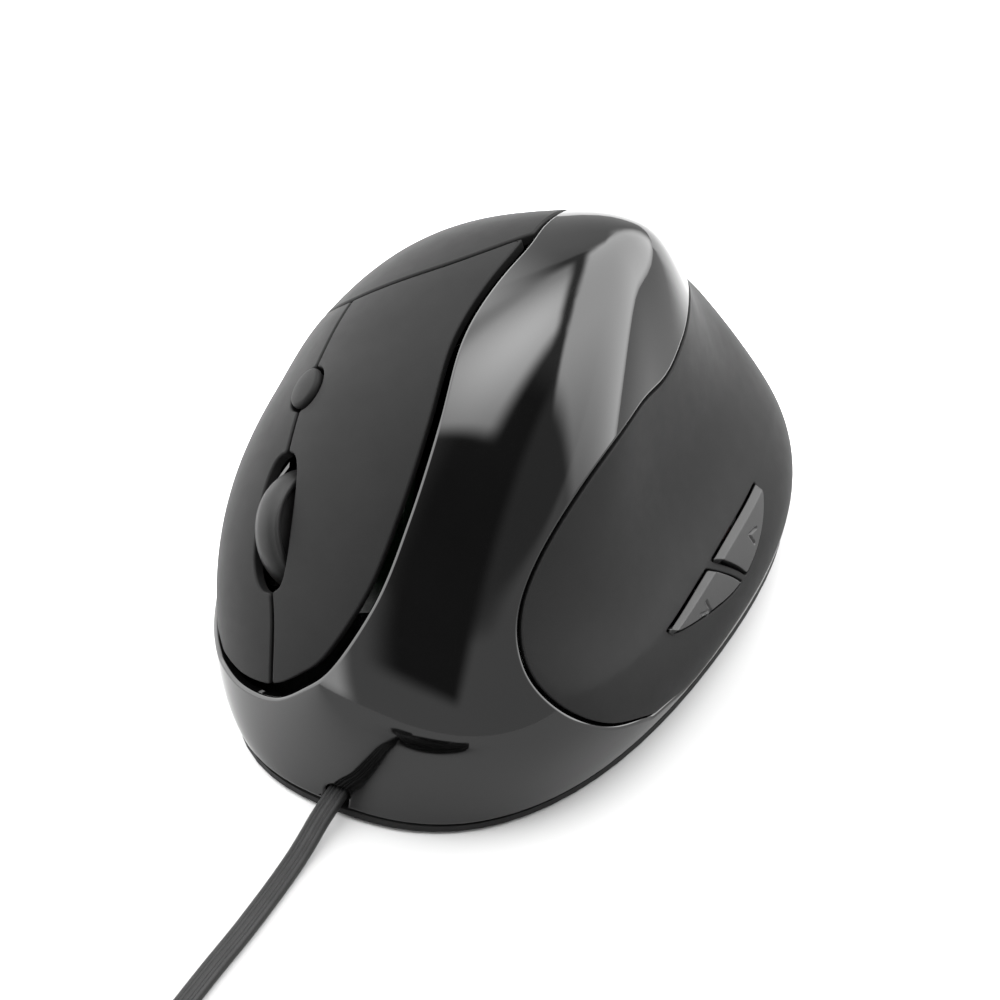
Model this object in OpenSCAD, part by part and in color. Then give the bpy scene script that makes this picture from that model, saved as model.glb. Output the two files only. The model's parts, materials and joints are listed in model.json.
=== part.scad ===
// Vertical mouse: a glossy spine cover, matte thumb and palm panels, two finger buttons with a
// wheel and a small oval button on their seam, two thumb buttons, inner boards and a flat cord.
// Millimetres, +Z up, +Y toward the cord end, +X toward the finger side.
// Origin on the desk under the middle of the housing.

/* [Housing] */
// Length of the housing from back to front
body_length = 118; // [114:0.5:122]
// Width of the housing from thumb side to finger side
body_width = 85; // [82:0.5:88]
// Height of the housing above the desk
body_height = 69.5; // [67:0.5:72]
// Wall of the glossy cover
cover_wall = 2; // [1.6:0.1:2.4]
// Wall of the matte panels and the finger buttons
panel_wall = 1.8; // [1.5:0.1:2.1]
// Depth of the thumb hollow above the crease
hollow_depth = 2; // [1:0.25:3]

/* [Gaps] */
// Groove between the spine and the finger buttons
groove_gap = 1.5; // [1.2:0.1:1.8]
// Joint line around the thumb and palm panels
panel_gap = 0.5; // [0.3:0.05:0.7]
// Seam between the two finger buttons
seam_gap = 0.5; // [0.4:0.05:0.7]
// Line between the finger buttons and the palm panel
palm_gap = 0.8; // [0.6:0.05:1]
// Depth of the finger buttons below the spine surface
button_recess = 0.8; // [0.5:0.1:1.1]

/* [Base] */
// Height of the base underside above the desk
foot_proud = 0.6; // [0.4:0.1:0.8]
// Rim of the base that the cover stands on
flange_thick = 1.2; // [1:0.1:1.5]
// Full thickness of the base plate
base_thick = 2.4; // [2.2:0.1:2.8]
// Clearance between the base plate and the cover wall
base_clear = 0.35; // [0.2:0.05:0.5]
// Depth of the pockets that hold the glide feet
foot_pocket = 0.3; // [0.2:0.05:0.4]
// Width of a glide foot
foot_width = 6; // [5:0.5:7]
// Length of a glide foot
foot_length = 20; // [16:1:23]
// Shank diameter of the base screws
screw_shank = 2.3; // [2:0.1:2.6]
// Head diameter of the base screws
screw_head = 4.6; // [4.2:0.1:5]
// Head height of the base screws
screw_head_tall = 1.1; // [0.9:0.1:1.2]

/* [Wheel] */
// Diameter of the scroll wheel over its tyre
wheel_diameter = 22; // [21:0.5:23]
// Width of the scroll wheel
wheel_width = 5.2; // [4.8:0.2:5.6]
// Height of the wheel above the seam surface
wheel_proud = 2.6; // [2.2:0.2:3]
// Thickness of the wheel tyre at its crown
tyre_thick = 2.6; // [2.2:0.2:3]
// Diameter of the wheel axle
axle_diameter = 3; // [2.6:0.1:3.4]
// Radial running clearance of axles and pins
pin_clear = 0.05; // [0.03:0.01:0.08]
// Room beside the wheel in its slot
wheel_side_gap = 1.5; // [1.3:0.1:1.8]
// Room ahead of and behind the wheel in its slot
wheel_end_gap = 4.8; // [4.4:0.2:5.2]

/* [Small buttons] */
// Length of the oval button along the seam
oval_length = 7.6; // [7:0.2:8.2]
// Width of the oval button across the seam
oval_width = 6.4; // [5.8:0.2:6.8]
// Height of the oval button above the finger buttons
oval_proud = 0.7; // [0.5:0.1:1]
// Length of the opening for the two thumb buttons along the crease
side_length = 41; // [39:0.5:42.5]
// Height of that opening down from the crease
side_depth = 9.6; // [9:0.2:10.2]
// Room around the oval button
oval_gap = 1.2; // [1.1:0.05:1.4]
// Room around the thumb buttons
side_gap = 0.55; // [0.45:0.05:0.6]
// Gap between the two thumb buttons
side_split = 2.6; // [2.2:0.1:3]
// Height of the thumb buttons above the panel along the crease
side_proud = 1.2; // [0.8:0.1:1.5]
// Thickness of the thumb buttons
side_thick = 3; // [2.6:0.1:3.4]

/* [Boards and switches] */
// Thickness of the circuit boards
board_thick = 1.6; // [1.4:0.1:1.8]
// Depth of the finger board below the seam surface at the wheel
finger_board_depth = 13.4; // [13.2:0.1:14]
// Depth of the thumb board below the thumb panel
thumb_board_depth = 10.6; // [10.2:0.1:11]
// Height of the main board underside above the base plate
main_board_rise = 5; // [4.8:0.1:5.6]
// Length of the click switches
click_length = 12.8; // [12.4:0.2:13.2]
// Width of the click switches
click_width = 5.8; // [5.6:0.1:6]
// Height of the click switches
click_height = 6.5; // [6.2:0.1:6.6]
// Side of the small square switches
tact_side = 6; // [5.6:0.2:6.2]
// Height of the small square switches
tact_height = 3.5; // [3.3:0.1:3.6]
// Plunger height above its switch
plunger_proud = 0.8; // [0.7:0.05:0.9]
// Air between a plunger and the post above it
plunger_air = 0.1; // [0.08:0.01:0.15]

/* [Cord and plug] */
// Width of the flat cord
cord_width = 3.6; // [3.4:0.1:3.7]
// Thickness of the flat cord
cord_thick = 2; // [1.8:0.1:2]
// Room around the cord where it leaves the cover
cord_clear = 0.4; // [0.3:0.05:0.5]
// Width of the plug grip
grip_width = 15.6; // [15:0.2:16.4]
// Thickness of the plug grip
grip_thick = 8; // [7.6:0.1:8]
// Length of the plug grip
grip_length = 26; // [24:1:30]

/* [Hidden] */
$fn = 48;

seat_z = foot_proud + flange_thick;
floor_z = foot_proud + base_thick;
// Skin of the housing: four guide curves from the base edge to one shared top point, in the
// natural size of the drawing, heights counted from the cover's lower edge.
draw_size = [85.28, 117.81, 67.7];
draw_middle = [1.4, -1.36];
front_draw = [[-2, 57.5, 0], [-3, 56.5, 2.2], [-9.3, 54.6, 19.9], [-11, 39, 35.2],
  [-12.8, 16.2, 56.4], [-10.2, -9.7, 67.8], [-10, -20, 67.7]];
back_draw = [[-7.5, -59, 0], [-6, -61.5, 9.2], [-5, -57.5, 24.7], [-4.5, -49, 43.2],
  [-8, -35, 56.2], [-10, -30, 67.9], [-10, -20, 67.7]];
finger_draw = [[35.5, -2, 0], [41, 0, 7.2], [47.5, 3, 25.7], [36.5, 0, 45.2], [22, -5, 60.7],
  [-4, -18.5, 67.2], [-10, -20, 67.7]];
thumb_draw = [[-40, -4.5, 0], [-42.5, -7, 7.2], [-38.5, -5, 14.2], [-32, -3.5, 24.7],
  [-25.5, -8.5, 45.2], [-16, -21.5, 68.2], [-10, -20, 67.7]];
// Fullness of the rounded corners between the guide curves
full_front_finger = 0.1;
full_front_thumb = 0.055;
full_back_thumb = 0.05;
full_back_finger = 0.09;

function to_size(p) = [(p[0] - draw_middle[0]) * body_width / draw_size[0],
  (p[1] - draw_middle[1]) * body_length / draw_size[1],
  seat_z + p[2] * (body_height - seat_z) / draw_size[2]];
front_net = [for (p = front_draw) to_size(p)];
back_net = [for (p = back_draw) to_size(p)];
finger_net = [for (p = finger_draw) to_size(p)];
thumb_net = [for (p = thumb_draw) to_size(p)];
spline_steps = [0, 0, 0, 0, 0.25, 0.5, 0.75, 1, 1, 1, 1];

// Weights of the four control points that shape a guide curve at height share t
function spline_weights(t, i) =
  let (k = i + 3)
  let (l1 = t - spline_steps[k], l2 = t - spline_steps[k - 1], l3 = t - spline_steps[k - 2])
  let (r1 = spline_steps[k + 1] - t, r2 = spline_steps[k + 2] - t, r3 = spline_steps[k + 3] - t)
  let (a0 = r1 / (r1 + l1), a1 = l1 / (r1 + l1))
  let (b = a0 / (r1 + l2), c = a1 / (r2 + l1))
  let (b0 = r1 * b, b1 = l2 * b + r2 * c, b2 = l1 * c)
  let (d = b0 / (r1 + l3), e = b1 / (r2 + l2), f = b2 / (r3 + l1))
  [r1 * d, l3 * d + r2 * e, l2 * e + r3 * f, l1 * f];
function guide(net, i, w) = w[0] * net[i] + w[1] * net[i + 1] + w[2] * net[i + 2] + w[3] * net[i + 3];
function unit(v) = v / norm(v);
function mix(a, b, s) = a + (b - a) * s;
function ease(x) = let (s = max(0, min(1, x))) s * s * (3 - 2 * s);

// Point of the skin for a plan point in the unit disk: centre is the top, edge is the base
function skin(p) =
  let (far = norm(p), t = 1 - min(1, far))
  let (c = far > 0 ? p[0] / far : 1, s = far > 0 ? p[1] / far : 0)
  let (i = min(3, floor(t * 4)), w = spline_weights(t, i))
  let (f = guide(front_net, i, w), b = guide(back_net, i, w))
  let (r = guide(finger_net, i, w), l = guide(thumb_net, i, w))
  let (q = c * (1 + c) / 2 * r + c * (c - 1) / 2 * l + s * (1 + s) / 2 * f + s * (s - 1) / 2 * b)
  let (middle = (f + b + r + l) / 4)
  let (front_full = c > 0 ? full_front_finger : full_front_thumb)
  let (back_full = c > 0 ? full_back_finger : full_back_thumb)
  let (full = 4 * pow(c * s, 2) * (s > 0 ? front_full : back_full))
  q + full * [q[0] - middle[0], q[1] - middle[1], 0];
probe = 0.002;
function normal(p) = unit(cross(skin(p + [probe, 0]) - skin(p - [probe, 0]),
  skin(p + [0, probe]) - skin(p - [0, probe])));
function below(p, depth) = skin(p) - depth * normal(p);

// Smooth plan line through listed plan points, place counted in points
function line_at(pts, place) =
  let (n = len(pts) - 1, x = max(0, min(place, n - 0.000001)), i = floor(x), f = x - i)
  let (b = pts[i], c = pts[i + 1])
  let (a = i > 0 ? pts[i - 1] : 2 * b - c, d = i < n - 1 ? pts[i + 2] : 2 * c - b)
  0.5 * (2 * b + (c - a) * f + (2 * a - 5 * b + 4 * c - d) * f * f
    + (3 * b - a - 3 * c + d) * f * f * f);

// Plan lines: edge of the cover along the fingers, edge along the thumb, and the rims below them
finger_edge = [[0.6, 0.612], [0.488, 0.68], [0.372, 0.716], [0.29, 0.701], [0.226, 0.659],
  [0.169, 0.544], [0.147, 0.412], [0.137, 0.276], [0.138, 0.163], [0.128, 0.071],
  [0.12, -0.035], [0.105, -0.14], [0.11, -0.28], [0.135, -0.42], [0.19, -0.57], [0.29, -0.7],
  [0.42, -0.745], [0.55, -0.665]];
thumb_edge = [[-0.825, 0.396], [-0.644, 0.485], [-0.458, 0.526], [-0.3, 0.535], [-0.205, 0.51],
  [-0.15, 0.455], [-0.137, 0.37], [-0.16, 0.25], [-0.215, 0.1], [-0.248, -0.02],
  [-0.225, -0.11], [-0.165, -0.2], [-0.125, -0.31], [-0.135, -0.43], [-0.18, -0.55],
  [-0.32, -0.66], [-0.5, -0.7], [-0.66, -0.66]];
finger_rim = [[0.6, 0.612], [0.72, 0.475], [0.8, 0.31], [0.845, 0.14], [0.858, -0.03],
  [0.845, -0.19], [0.795, -0.36], [0.7, -0.53], [0.55, -0.665]];
thumb_rim = [[-0.825, 0.396], [-0.94, 0.22], [-0.965, 0], [-0.93, -0.26], [-0.82, -0.49],
  [-0.66, -0.66]];
edge_last = len(finger_edge) - 1;
// Places on the edge of the cover where the seam, the palm line and the panel corners meet it
seam_place = 1.86;
left_corner_place = 2.8;
palm_place = 10;
palm_corner_place = 15;
palm_rim_place = 5.6;
seam = [[0.391, -0.018], [0.405, 0.078], [0.411, 0.173], [0.411, 0.274], [0.413, 0.37],
  [0.41, 0.472], [0.391, 0.579], line_at(finger_edge, seam_place)];
seam_last = len(seam) - 1;
palm_line = [finger_edge[palm_place], [0.235, 0.002], seam[0], [0.53, -0.1], [0.68, -0.2],
  line_at(finger_rim, palm_rim_place)];
palm_seam_place = 2;
crease_front_place = 3;
thumb_top_front = 4;
thumb_top_back = 14;
crease_back_place = 15.8;
crease = [thumb_edge[crease_front_place], [-0.405, 0.497], [-0.52, 0.39], [-0.632, 0.228],
  [-0.675, 0.03], [-0.668, -0.17], [-0.632, -0.315], [-0.565, -0.462], [-0.51, -0.585],
  line_at(thumb_edge, crease_back_place)];
crease_last = len(crease) - 1;

// Four-sided plan patch between side lines a, b (v runs along them) and end lines c, d
function patch(a, b, c, d, u, v) =
  mix(line_at(a[0], mix(a[1], a[2], v)), line_at(b[0], mix(b[1], b[2], v)), u)
  + mix(line_at(c[0], mix(c[1], c[2], u)), line_at(d[0], mix(d[1], d[2], u)), v)
  - mix(mix(line_at(a[0], a[1]), line_at(b[0], b[1]), u),
    mix(line_at(a[0], a[2]), line_at(b[0], b[2]), u), v);
// Each patch: its a, b, c and d lines with their first and last places
left_sides = [[seam, 0, seam_last], [finger_edge, palm_place, left_corner_place],
  [palm_line, palm_seam_place, 0], [finger_edge, seam_place, left_corner_place]];
right_sides = [[seam, 0, seam_last], [finger_rim, palm_rim_place, 0],
  [palm_line, palm_seam_place, len(palm_line) - 1], [finger_edge, seam_place, 0]];
palm_sides = [[finger_edge, palm_place, palm_corner_place],
  [finger_rim, palm_rim_place, len(finger_rim) - 1], [palm_line, 0, len(palm_line) - 1],
  [finger_edge, palm_corner_place, edge_last]];
low_sides = [[thumb_edge, 0, crease_front_place], [thumb_edge, edge_last, crease_back_place],
  [thumb_rim, 0, len(thumb_rim) - 1], [crease, 0, crease_last]];
high_sides = [[thumb_edge, crease_front_place, thumb_top_front],
  [thumb_edge, crease_back_place, thumb_top_back], [crease, 0, crease_last],
  [thumb_edge, thumb_top_front, thumb_top_back]];
function plan(s, u, v) = patch(s[0], s[1], s[2], s[3], u, v);
function across(s, v) = norm(skin(plan(s, 0, v)) - skin(plan(s, 1, v)));
along_parts = 6;
function along(s, u) = let (n = along_parts) let (q = [for (i = [0:n]) skin(plan(s, u, i / n))])
  let (d = [for (i = [0:n - 1]) norm(q[i + 1] - q[i])]) d * [for (i = [0:n - 1]) 1];

// Local frame on the skin: origin, x along a plan direction, y across it, z outward
function skin_frame(p, dir) =
  let (z = normal(p), run = skin(p + probe * dir) - skin(p - probe * dir))
  let (x = unit(run - (run * z) * z))
  [skin(p), x, cross(z, x), z];
function frame_point(f, q) = f[0] + q[0] * f[1] + q[1] * f[2] + q[2] * f[3];
function frame_coords(f, p) = [(p - f[0]) * f[1], (p - f[0]) * f[2], (p - f[0]) * f[3]];
module in_frame(f) {
  multmatrix([[f[1][0], f[2][0], f[3][0], f[0][0]], [f[1][1], f[2][1], f[3][1], f[0][1]],
    [f[1][2], f[2][2], f[3][2], f[0][2]], [0, 0, 0, 1]]) children();
}
// Plan point whose skin lies over the x and y of a frame
function plan_over(f, xy, p, turns) =
  turns == 0 ? p :
  let (e = frame_coords(f, skin(p)))
  let (a = (frame_coords(f, skin(p + [probe, 0])) - e) / probe)
  let (b = (frame_coords(f, skin(p + [0, probe])) - e) / probe)
  let (dx = xy[0] - e[0], dy = xy[1] - e[1], det = a[0] * b[1] - a[1] * b[0])
  plan_over(f, xy, p + [dx * b[1] - dy * b[0], dy * a[0] - dx * a[1]] / det, turns - 1);
search_turns = 7;
function skin_height(f, xy, p) = frame_coords(f, skin(plan_over(f, xy, p, search_turns)))[2];

// Closed slab from a grid of outer points and a grid of inner points
function quad(a, b, c, d) = [[a, b, c], [a, c, d]];
function flip(list) = [for (f = list) [f[2], f[1], f[0]]];
function join(lists) = [for (l = lists) for (x = l) x];
module slab(outer, inner) {
  rows = len(outer);
  cols = len(outer[0]);
  half = rows * cols;
  grid = join([for (j = [0:rows - 2]) for (i = [0:cols - 2])
    let (a = j * cols + i, b = a + 1, c = b + cols, d = a + cols)
    concat(quad(a, b, c, d), quad(half + a, half + d, half + c, half + b))]);
  ends = join([for (i = [0:cols - 2]) let (a = i, b = i + 1, c = (rows - 1) * cols + i, d = c + 1)
    concat(quad(b, a, half + a, half + b), quad(c, d, half + d, half + c))]);
  flanks = join([for (j = [0:rows - 2])
    let (a = j * cols, b = a + cols, c = a + cols - 1, d = b + cols - 1)
    concat(quad(a, b, half + b, half + a), quad(d, c, half + c, half + d))]);
  faces = concat(grid, ends, flanks);
  turn = cross(outer[0][1] - outer[0][0], outer[1][0] - outer[0][0]) * (outer[0][0] - inner[0][0]);
  polyhedron(concat(join(outer), join(inner)), turn > 0 ? flip(faces) : faces, convexity = 6);
}

// Wheel frame on the seam: x to the right button, y forward along the seam, z outward
wheel_place = 4.3;
oval_place = 2;
seam_step = 0.02;
function seam_dir(place) = unit(line_at(seam, place + seam_step) - line_at(seam, place - seam_step));
function seam_speed(place) = norm(skin(line_at(seam, place + seam_step))
  - skin(line_at(seam, place - seam_step))) / (2 * seam_step);
wheel_plan = line_at(seam, wheel_place);
wheel_raw = skin_frame(wheel_plan, seam_dir(wheel_place));
wheel_frame = [wheel_raw[0], -wheel_raw[2], wheel_raw[1], wheel_raw[3]];
wheel_radius = wheel_diameter / 2;
wheel_drop = wheel_radius - wheel_proud;
oval_plan = line_at(seam, oval_place);
oval_raw = skin_frame(oval_plan, seam_dir(oval_place));
oval_frame = [oval_raw[0], -oval_raw[2], oval_raw[1], oval_raw[3]];
oval_spot = frame_coords(wheel_frame, oval_raw[0]);

// Half width of the seam opening for the wheel and for the oval button; on the outside of the
// seam's bend the wheel takes a little more room
slot_half = wheel_width / 2 + wheel_side_gap;
slot_reach = sqrt(pow(wheel_radius, 2) - pow(wheel_drop, 2)) + wheel_end_gap;
slot_power = 2.6;
slot_bow = 1.5;
function lens(x) = abs(x) < 1 ? pow(1 - pow(abs(x), slot_power), 1 / slot_power) : 0;
function seam_open(place, bow) = seam_gap / 2
  + (slot_half + bow - seam_gap / 2) * lens((place - wheel_place) * seam_speed(wheel_place) / slot_reach)
  + (oval_width / 2 + oval_gap - seam_gap / 2)
  * lens((place - oval_place) * seam_speed(oval_place) / (oval_length / 2 + oval_gap));

// Finger buttons and palm panel
button_rows = 44;
button_cols = 5;
front_room = 2.2;
left_room = 1;
corner_room = 0.7;
function panel_place(s, start, stop, u, v) =
  let (l = along(s, u)) mix(start / l, 1 - stop / l, v);
function panel_plan(s, low, high, u, t) =
  let (w = across(s, t)) plan(s, mix(low / w, 1 - high / w, u), t);
function left_plan(u, v) =
  let (t = panel_place(left_sides, palm_gap / 2, groove_gap + left_room, u, v))
  panel_plan(left_sides, seam_open(t * seam_last, 0), groove_gap + corner_room * ease(2 * t - 1), u, t);
function right_plan(u, v) =
  let (t = panel_place(right_sides, palm_gap / 2, groove_gap + front_room * u, u, v))
  panel_plan(right_sides, seam_open(t * seam_last, slot_bow), groove_gap, u, t);
function palm_plan(u, v) =
  panel_plan(palm_sides, panel_gap, panel_gap, u, panel_place(palm_sides, palm_gap / 2, panel_gap, u, v));
module left_skin() {
  grid = [for (j = [0:button_rows]) [for (i = [0:button_cols])
    left_plan(i / button_cols, j / button_rows)]];
  slab([for (r = grid) [for (p = r) below(p, button_recess)]],
    [for (r = grid) [for (p = r) below(p, button_recess + panel_wall)]]);
}
module right_skin() {
  grid = [for (j = [0:button_rows]) [for (i = [0:button_cols])
    right_plan(i / button_cols, j / button_rows)]];
  slab([for (r = grid) [for (p = r) below(p, button_recess)]],
    [for (r = grid) [for (p = r) below(p, button_recess + panel_wall)]]);
}
palm_rows = 14;
palm_cols = 14;
module palm_skin() {
  grid = [for (j = [0:palm_rows]) [for (i = [0:palm_cols])
    palm_plan(i / palm_cols, j / palm_rows)]];
  slab([for (r = grid) [for (p = r) skin(p)]], [for (r = grid) [for (p = r) below(p, panel_wall)]]);
}

// Hinges of the finger buttons: a pin under the palm line, two ears on the palm panel and one lug
hinge_pin = 2;
left_hinge_depth = 5.8;
right_hinge_depth = 9;
lug_half = 2.4;
ear_air = 0.3;
ear_thick = 1.6;
knuckle_radius = 1.9;
knuckle_near = 2.8;
knuckle_reach = 5.6;
left_hinge_place = 1.1;
right_hinge_place = 2.35;
function palm_dir(place) =
  unit(line_at(palm_line, place + seam_step) - line_at(palm_line, place - seam_step));
function hinge_frame(place, x) =
  let (p = line_at(palm_line, place), n = normal(p), z = unit(n - (n * x) * x))
  [skin(p), x, cross(z, x), z];
left_hinge_plan = line_at(palm_line, left_hinge_place);
right_hinge_plan = line_at(palm_line, right_hinge_place);
left_hinge = hinge_frame(left_hinge_place, skin_frame(left_hinge_plan, palm_dir(left_hinge_place))[1]);
right_hinge = hinge_frame(right_hinge_place, wheel_frame[1]);
ear_outer = lug_half + ear_air + ear_thick;
ear_middle = lug_half + ear_air + ear_thick / 2;
// Slant of the palm line across a hinge frame
function palm_slant(frame, place) =
  let (d = skin(line_at(palm_line, place + seam_step)) - skin(line_at(palm_line, place - seam_step)))
  (d * frame[2]) / (d * frame[1]);
left_slant = palm_slant(left_hinge, left_hinge_place);
right_slant = palm_slant(right_hinge, right_hinge_place);
// Cheek of a hinge: side -1 reaches back, side 1 forward, up to a root in the wall above
module cheek(side, depth, root, shift) {
  difference() {
    union() {
      translate([0, -depth]) circle(knuckle_radius);
      polygon([[0, -depth - knuckle_radius], [0, -depth + knuckle_radius],
        [side * knuckle_near + shift, root], [side * knuckle_reach + shift, root],
        [side * knuckle_radius, -depth]]);
    }
    translate([0, -depth]) circle(hinge_pin / 2 + pin_clear);
  }
}
function root_height(frame, p, x, side, shift) =
  skin_height(frame, [x, side * (knuckle_near + knuckle_reach) / 2 + shift], p);
module plate_along(from, thick) {
  translate([from, 0, 0]) rotate([90, 0, 90]) linear_extrude(thick) children();
}
module hinge_ears(frame, p, depth, slant) {
  in_frame(frame) for (side = [-1, 1]) let (x = side * ear_middle, shift = slant * x)
    plate_along(x - ear_thick / 2, ear_thick)
      cheek(-1, depth, root_height(frame, p, x, -1, shift) - panel_wall / 2, shift);
}
module hinge_lug(frame, p, depth) {
  in_frame(frame) plate_along(-lug_half, 2 * lug_half)
    cheek(1, depth, root_height(frame, p, 0, 1, 0) - button_recess - panel_wall / 2, 0);
}
module hinge_pin_rod(frame, depth) {
  in_frame(frame) translate([-ear_outer, 0, -depth]) rotate([0, 90, 0])
    cylinder(d = hinge_pin, h = 2 * ear_outer);
}

// Switch places in the wheel frame, and the board under them
board_top = -finger_board_depth;
switch_forward = 1.5;
left_switch_x = -9.8;
right_switch_x = 8.8;
middle_spot = [-9, -14.5];
board_edge = 13;
board_left = -17;
board_right = right_switch_x + click_width / 2 + 0.5;
board_back = oval_spot[1] - tact_side / 2 - 1.2;
board_nip = 5;
board_nip_back = -8;
post_diameter = 3;
board_slot_half = wheel_width / 2 + 1.1;
board_slot_reach = wheel_radius + 1.2;
guide_thick = 2;
guide_length = 4;
guide_air = 0.3;
arm_thick = 2;
arm_air = 0.6;
arm_inner = wheel_width / 2 + arm_air;
arm_outer = arm_inner + arm_thick;
arm_low = 1.2;
arm_tall = 6.3;
arm_front = 4;
cross_back = -wheel_radius - 4;
cross_deep = 2.4;
cross_tall = 4.6;
tab_deep = tact_side - 1;
guide_room = 0.5;
guide_back = cross_back + tab_deep + guide_room;
click_top = board_top + click_height + plunger_proud;
tact_top = board_top + tact_height + plunger_proud;
module board_outline(inset) {
  polygon([[board_left + inset * 3, board_back + inset], [board_nip - inset, board_back + inset],
    [board_right - inset, board_nip_back], [board_right - inset, board_edge - inset],
    [board_left + inset * 3, board_edge - inset]]);
}
module guide_prints(air) {
  for (side = [-1, 1])
    translate([side > 0 ? arm_outer + guide_air - air : -arm_outer - guide_air - guide_thick - air,
      guide_back - air]) square([guide_thick + 2 * air, guide_length + 2 * air]);
}
module slot_print(air) {
  translate([-board_slot_half - air, -board_slot_reach - air])
    square([2 * (board_slot_half + air), 2 * (board_slot_reach + air)]);
}
module click_body(x) {
  hole = [2.2, 3.4, 3.2];
  in_frame(wheel_frame) difference() {
    translate([x - click_width / 2, switch_forward - click_length / 2, board_top])
      cube([click_width, click_length, click_height]);
    translate([x - hole[0] / 2, switch_forward - hole[1] / 2, board_top + click_height - hole[2]])
      cube([hole[0], hole[1], hole[2] + 1]);
  }
}
module click_plunger(x) {
  stem = [2, 3.2, 2.2];
  in_frame(wheel_frame) translate([x - stem[0] / 2, switch_forward - stem[1] / 2, click_top - plunger_proud
    - stem[2]]) cube([stem[0], stem[1], stem[2] + plunger_proud]);
}
tact_stem = 3.4;
tact_stem_deep = 0.9;
tact_well = 1.7;
module tact_body(frame, spot, top) {
  in_frame(frame) translate([spot[0], spot[1], top]) difference() {
    translate([-tact_side / 2, -tact_side / 2, 0]) cube([tact_side, tact_side, tact_height]);
    translate([0, 0, tact_height - tact_well])
      cylinder(r = tact_stem / 2 + pin_clear, h = tact_well + 1);
  }
}
module tact_plunger(frame, spot, top) {
  in_frame(frame) translate([spot[0], spot[1], top + tact_height - tact_stem_deep])
    cylinder(d = tact_stem, h = tact_stem_deep + plunger_proud);
}
module click_post(x, near) {
  roof = skin_height(wheel_frame, [x, switch_forward], near) - button_recess - panel_wall / 2;
  in_frame(wheel_frame) translate([x, switch_forward, click_top + plunger_air])
    cylinder(d = post_diameter, h = roof - click_top - plunger_air);
}

// Thumb side: opening of the thumb buttons below the crease, counted along the crease
side_place = 4.42;
side_window = 1.4;
crease_parts = 8;
function crease_point(i) =
  skin(line_at(crease, side_place + side_window * (2 * i / crease_parts - 1)));
crease_pieces = [for (i = [1:crease_parts]) norm(crease_point(i) - crease_point(i - 1))];
// Length of the crease to each place, near the opening
crease_pace = crease_pieces * [for (d = crease_pieces) 1] / (2 * side_window);
side_mid = side_place / crease_last;
side_half = side_length / 2 / crease_pace / crease_last;
function low_tall(u) = norm(skin(plan(low_sides, u, 0)) - skin(plan(low_sides, u, 1)));
function moon(u, half, depth) = let (x = (u - side_mid) / half)
  abs(x) < 1 ? depth * sqrt(1 - x * x) : 0;
function side_drop(u) = moon(u, side_half, side_depth);
function side_foot(u) = 1 - side_drop(u) / low_tall(u);
end_cols = 7;
side_cols = 16;
panel_us = concat([for (i = [0:end_cols - 1]) mix(0, side_mid - side_half, i / end_cols)],
  [for (i = [0:side_cols]) side_mid - side_half * cos(180 * i / side_cols)],
  [for (i = [1:end_cols]) mix(side_mid + side_half, 1, i / end_cols)]);
low_rows = 5;
high_rows = 8;
function hollow(u, v) = hollow_depth * 4 * v * (1 - v) * ease(u / 0.3) * ease((1 - u) / 0.25);
function trim_u(s, u, v) = let (w = across(s, v)) mix(panel_gap / w, 1 - panel_gap / w, u);
module thumb_skin() {
  cols = len(panel_us);
  low = [for (j = [0:low_rows]) [for (u = panel_us)
    let (v = mix(panel_gap / low_tall(u), side_foot(u), j / low_rows))
    plan(low_sides, trim_u(low_sides, u, v), v)]];
  high = [for (j = [0:high_rows]) [for (u = panel_us)
    let (v = mix(0, 1 - panel_gap / along(high_sides, u), j / high_rows))
    concat(plan(high_sides, trim_u(high_sides, u, v), v), hollow(u, v))]];
  outer = concat(join([for (r = low) [for (p = r) skin(p)]]),
    join([for (r = high) [for (p = r) below([p[0], p[1]], p[2])]]));
  inner = concat(join([for (r = low) [for (p = r) below(p, panel_wall)]]),
    join([for (r = high) [for (p = r) below([p[0], p[1]], p[2] + panel_wall)]]));
  half = len(outer);
  shift = (low_rows + 1) * cols;
  function open(i) = side_drop(panel_us[i]) > 0.000001;
  function lo(j, i) = j * cols + i;
  function hi(j, i) = j == 0 && !open(i) ? lo(low_rows, i) : shift + j * cols + i;
  low_faces = join([for (j = [0:low_rows - 1]) for (i = [0:cols - 2])
    let (a = lo(j, i), b = lo(j, i + 1), c = lo(j + 1, i + 1), d = lo(j + 1, i))
    concat(quad(a, b, c, d), quad(half + a, half + d, half + c, half + b))]);
  high_faces = join([for (j = [0:high_rows - 1]) for (i = [0:cols - 2])
    let (a = hi(j, i), b = hi(j, i + 1), c = hi(j + 1, i + 1), d = hi(j + 1, i))
    concat(quad(a, b, c, d), quad(half + a, half + d, half + c, half + b))]);
  ends = join([for (i = [0:cols - 2])
    let (a = lo(0, i), b = lo(0, i + 1), c = hi(high_rows, i), d = hi(high_rows, i + 1))
    concat(quad(b, a, half + a, half + b), quad(c, d, half + d, half + c))]);
  lips = join([for (i = [0:cols - 2]) if (open(i) || open(i + 1))
    let (a = lo(low_rows, i), b = lo(low_rows, i + 1), c = hi(0, i), d = hi(0, i + 1))
    concat(quad(a, b, half + b, half + a), quad(d, c, half + c, half + d))]);
  low_flanks = join([for (j = [0:low_rows - 1])
    let (a = lo(j, 0), b = lo(j + 1, 0), c = lo(j, cols - 1), d = lo(j + 1, cols - 1))
    concat(quad(a, b, half + b, half + a), quad(d, c, half + c, half + d))]);
  high_flanks = join([for (j = [0:high_rows - 1])
    let (a = hi(j, 0), b = hi(j + 1, 0), c = hi(j, cols - 1), d = hi(j + 1, cols - 1))
    concat(quad(a, b, half + b, half + a), quad(d, c, half + c, half + d))]);
  faces = concat(low_faces, high_faces, ends, lips, low_flanks, high_flanks);
  polyhedron(concat(outer, inner), flip(faces), convexity = 8);
}
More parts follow.
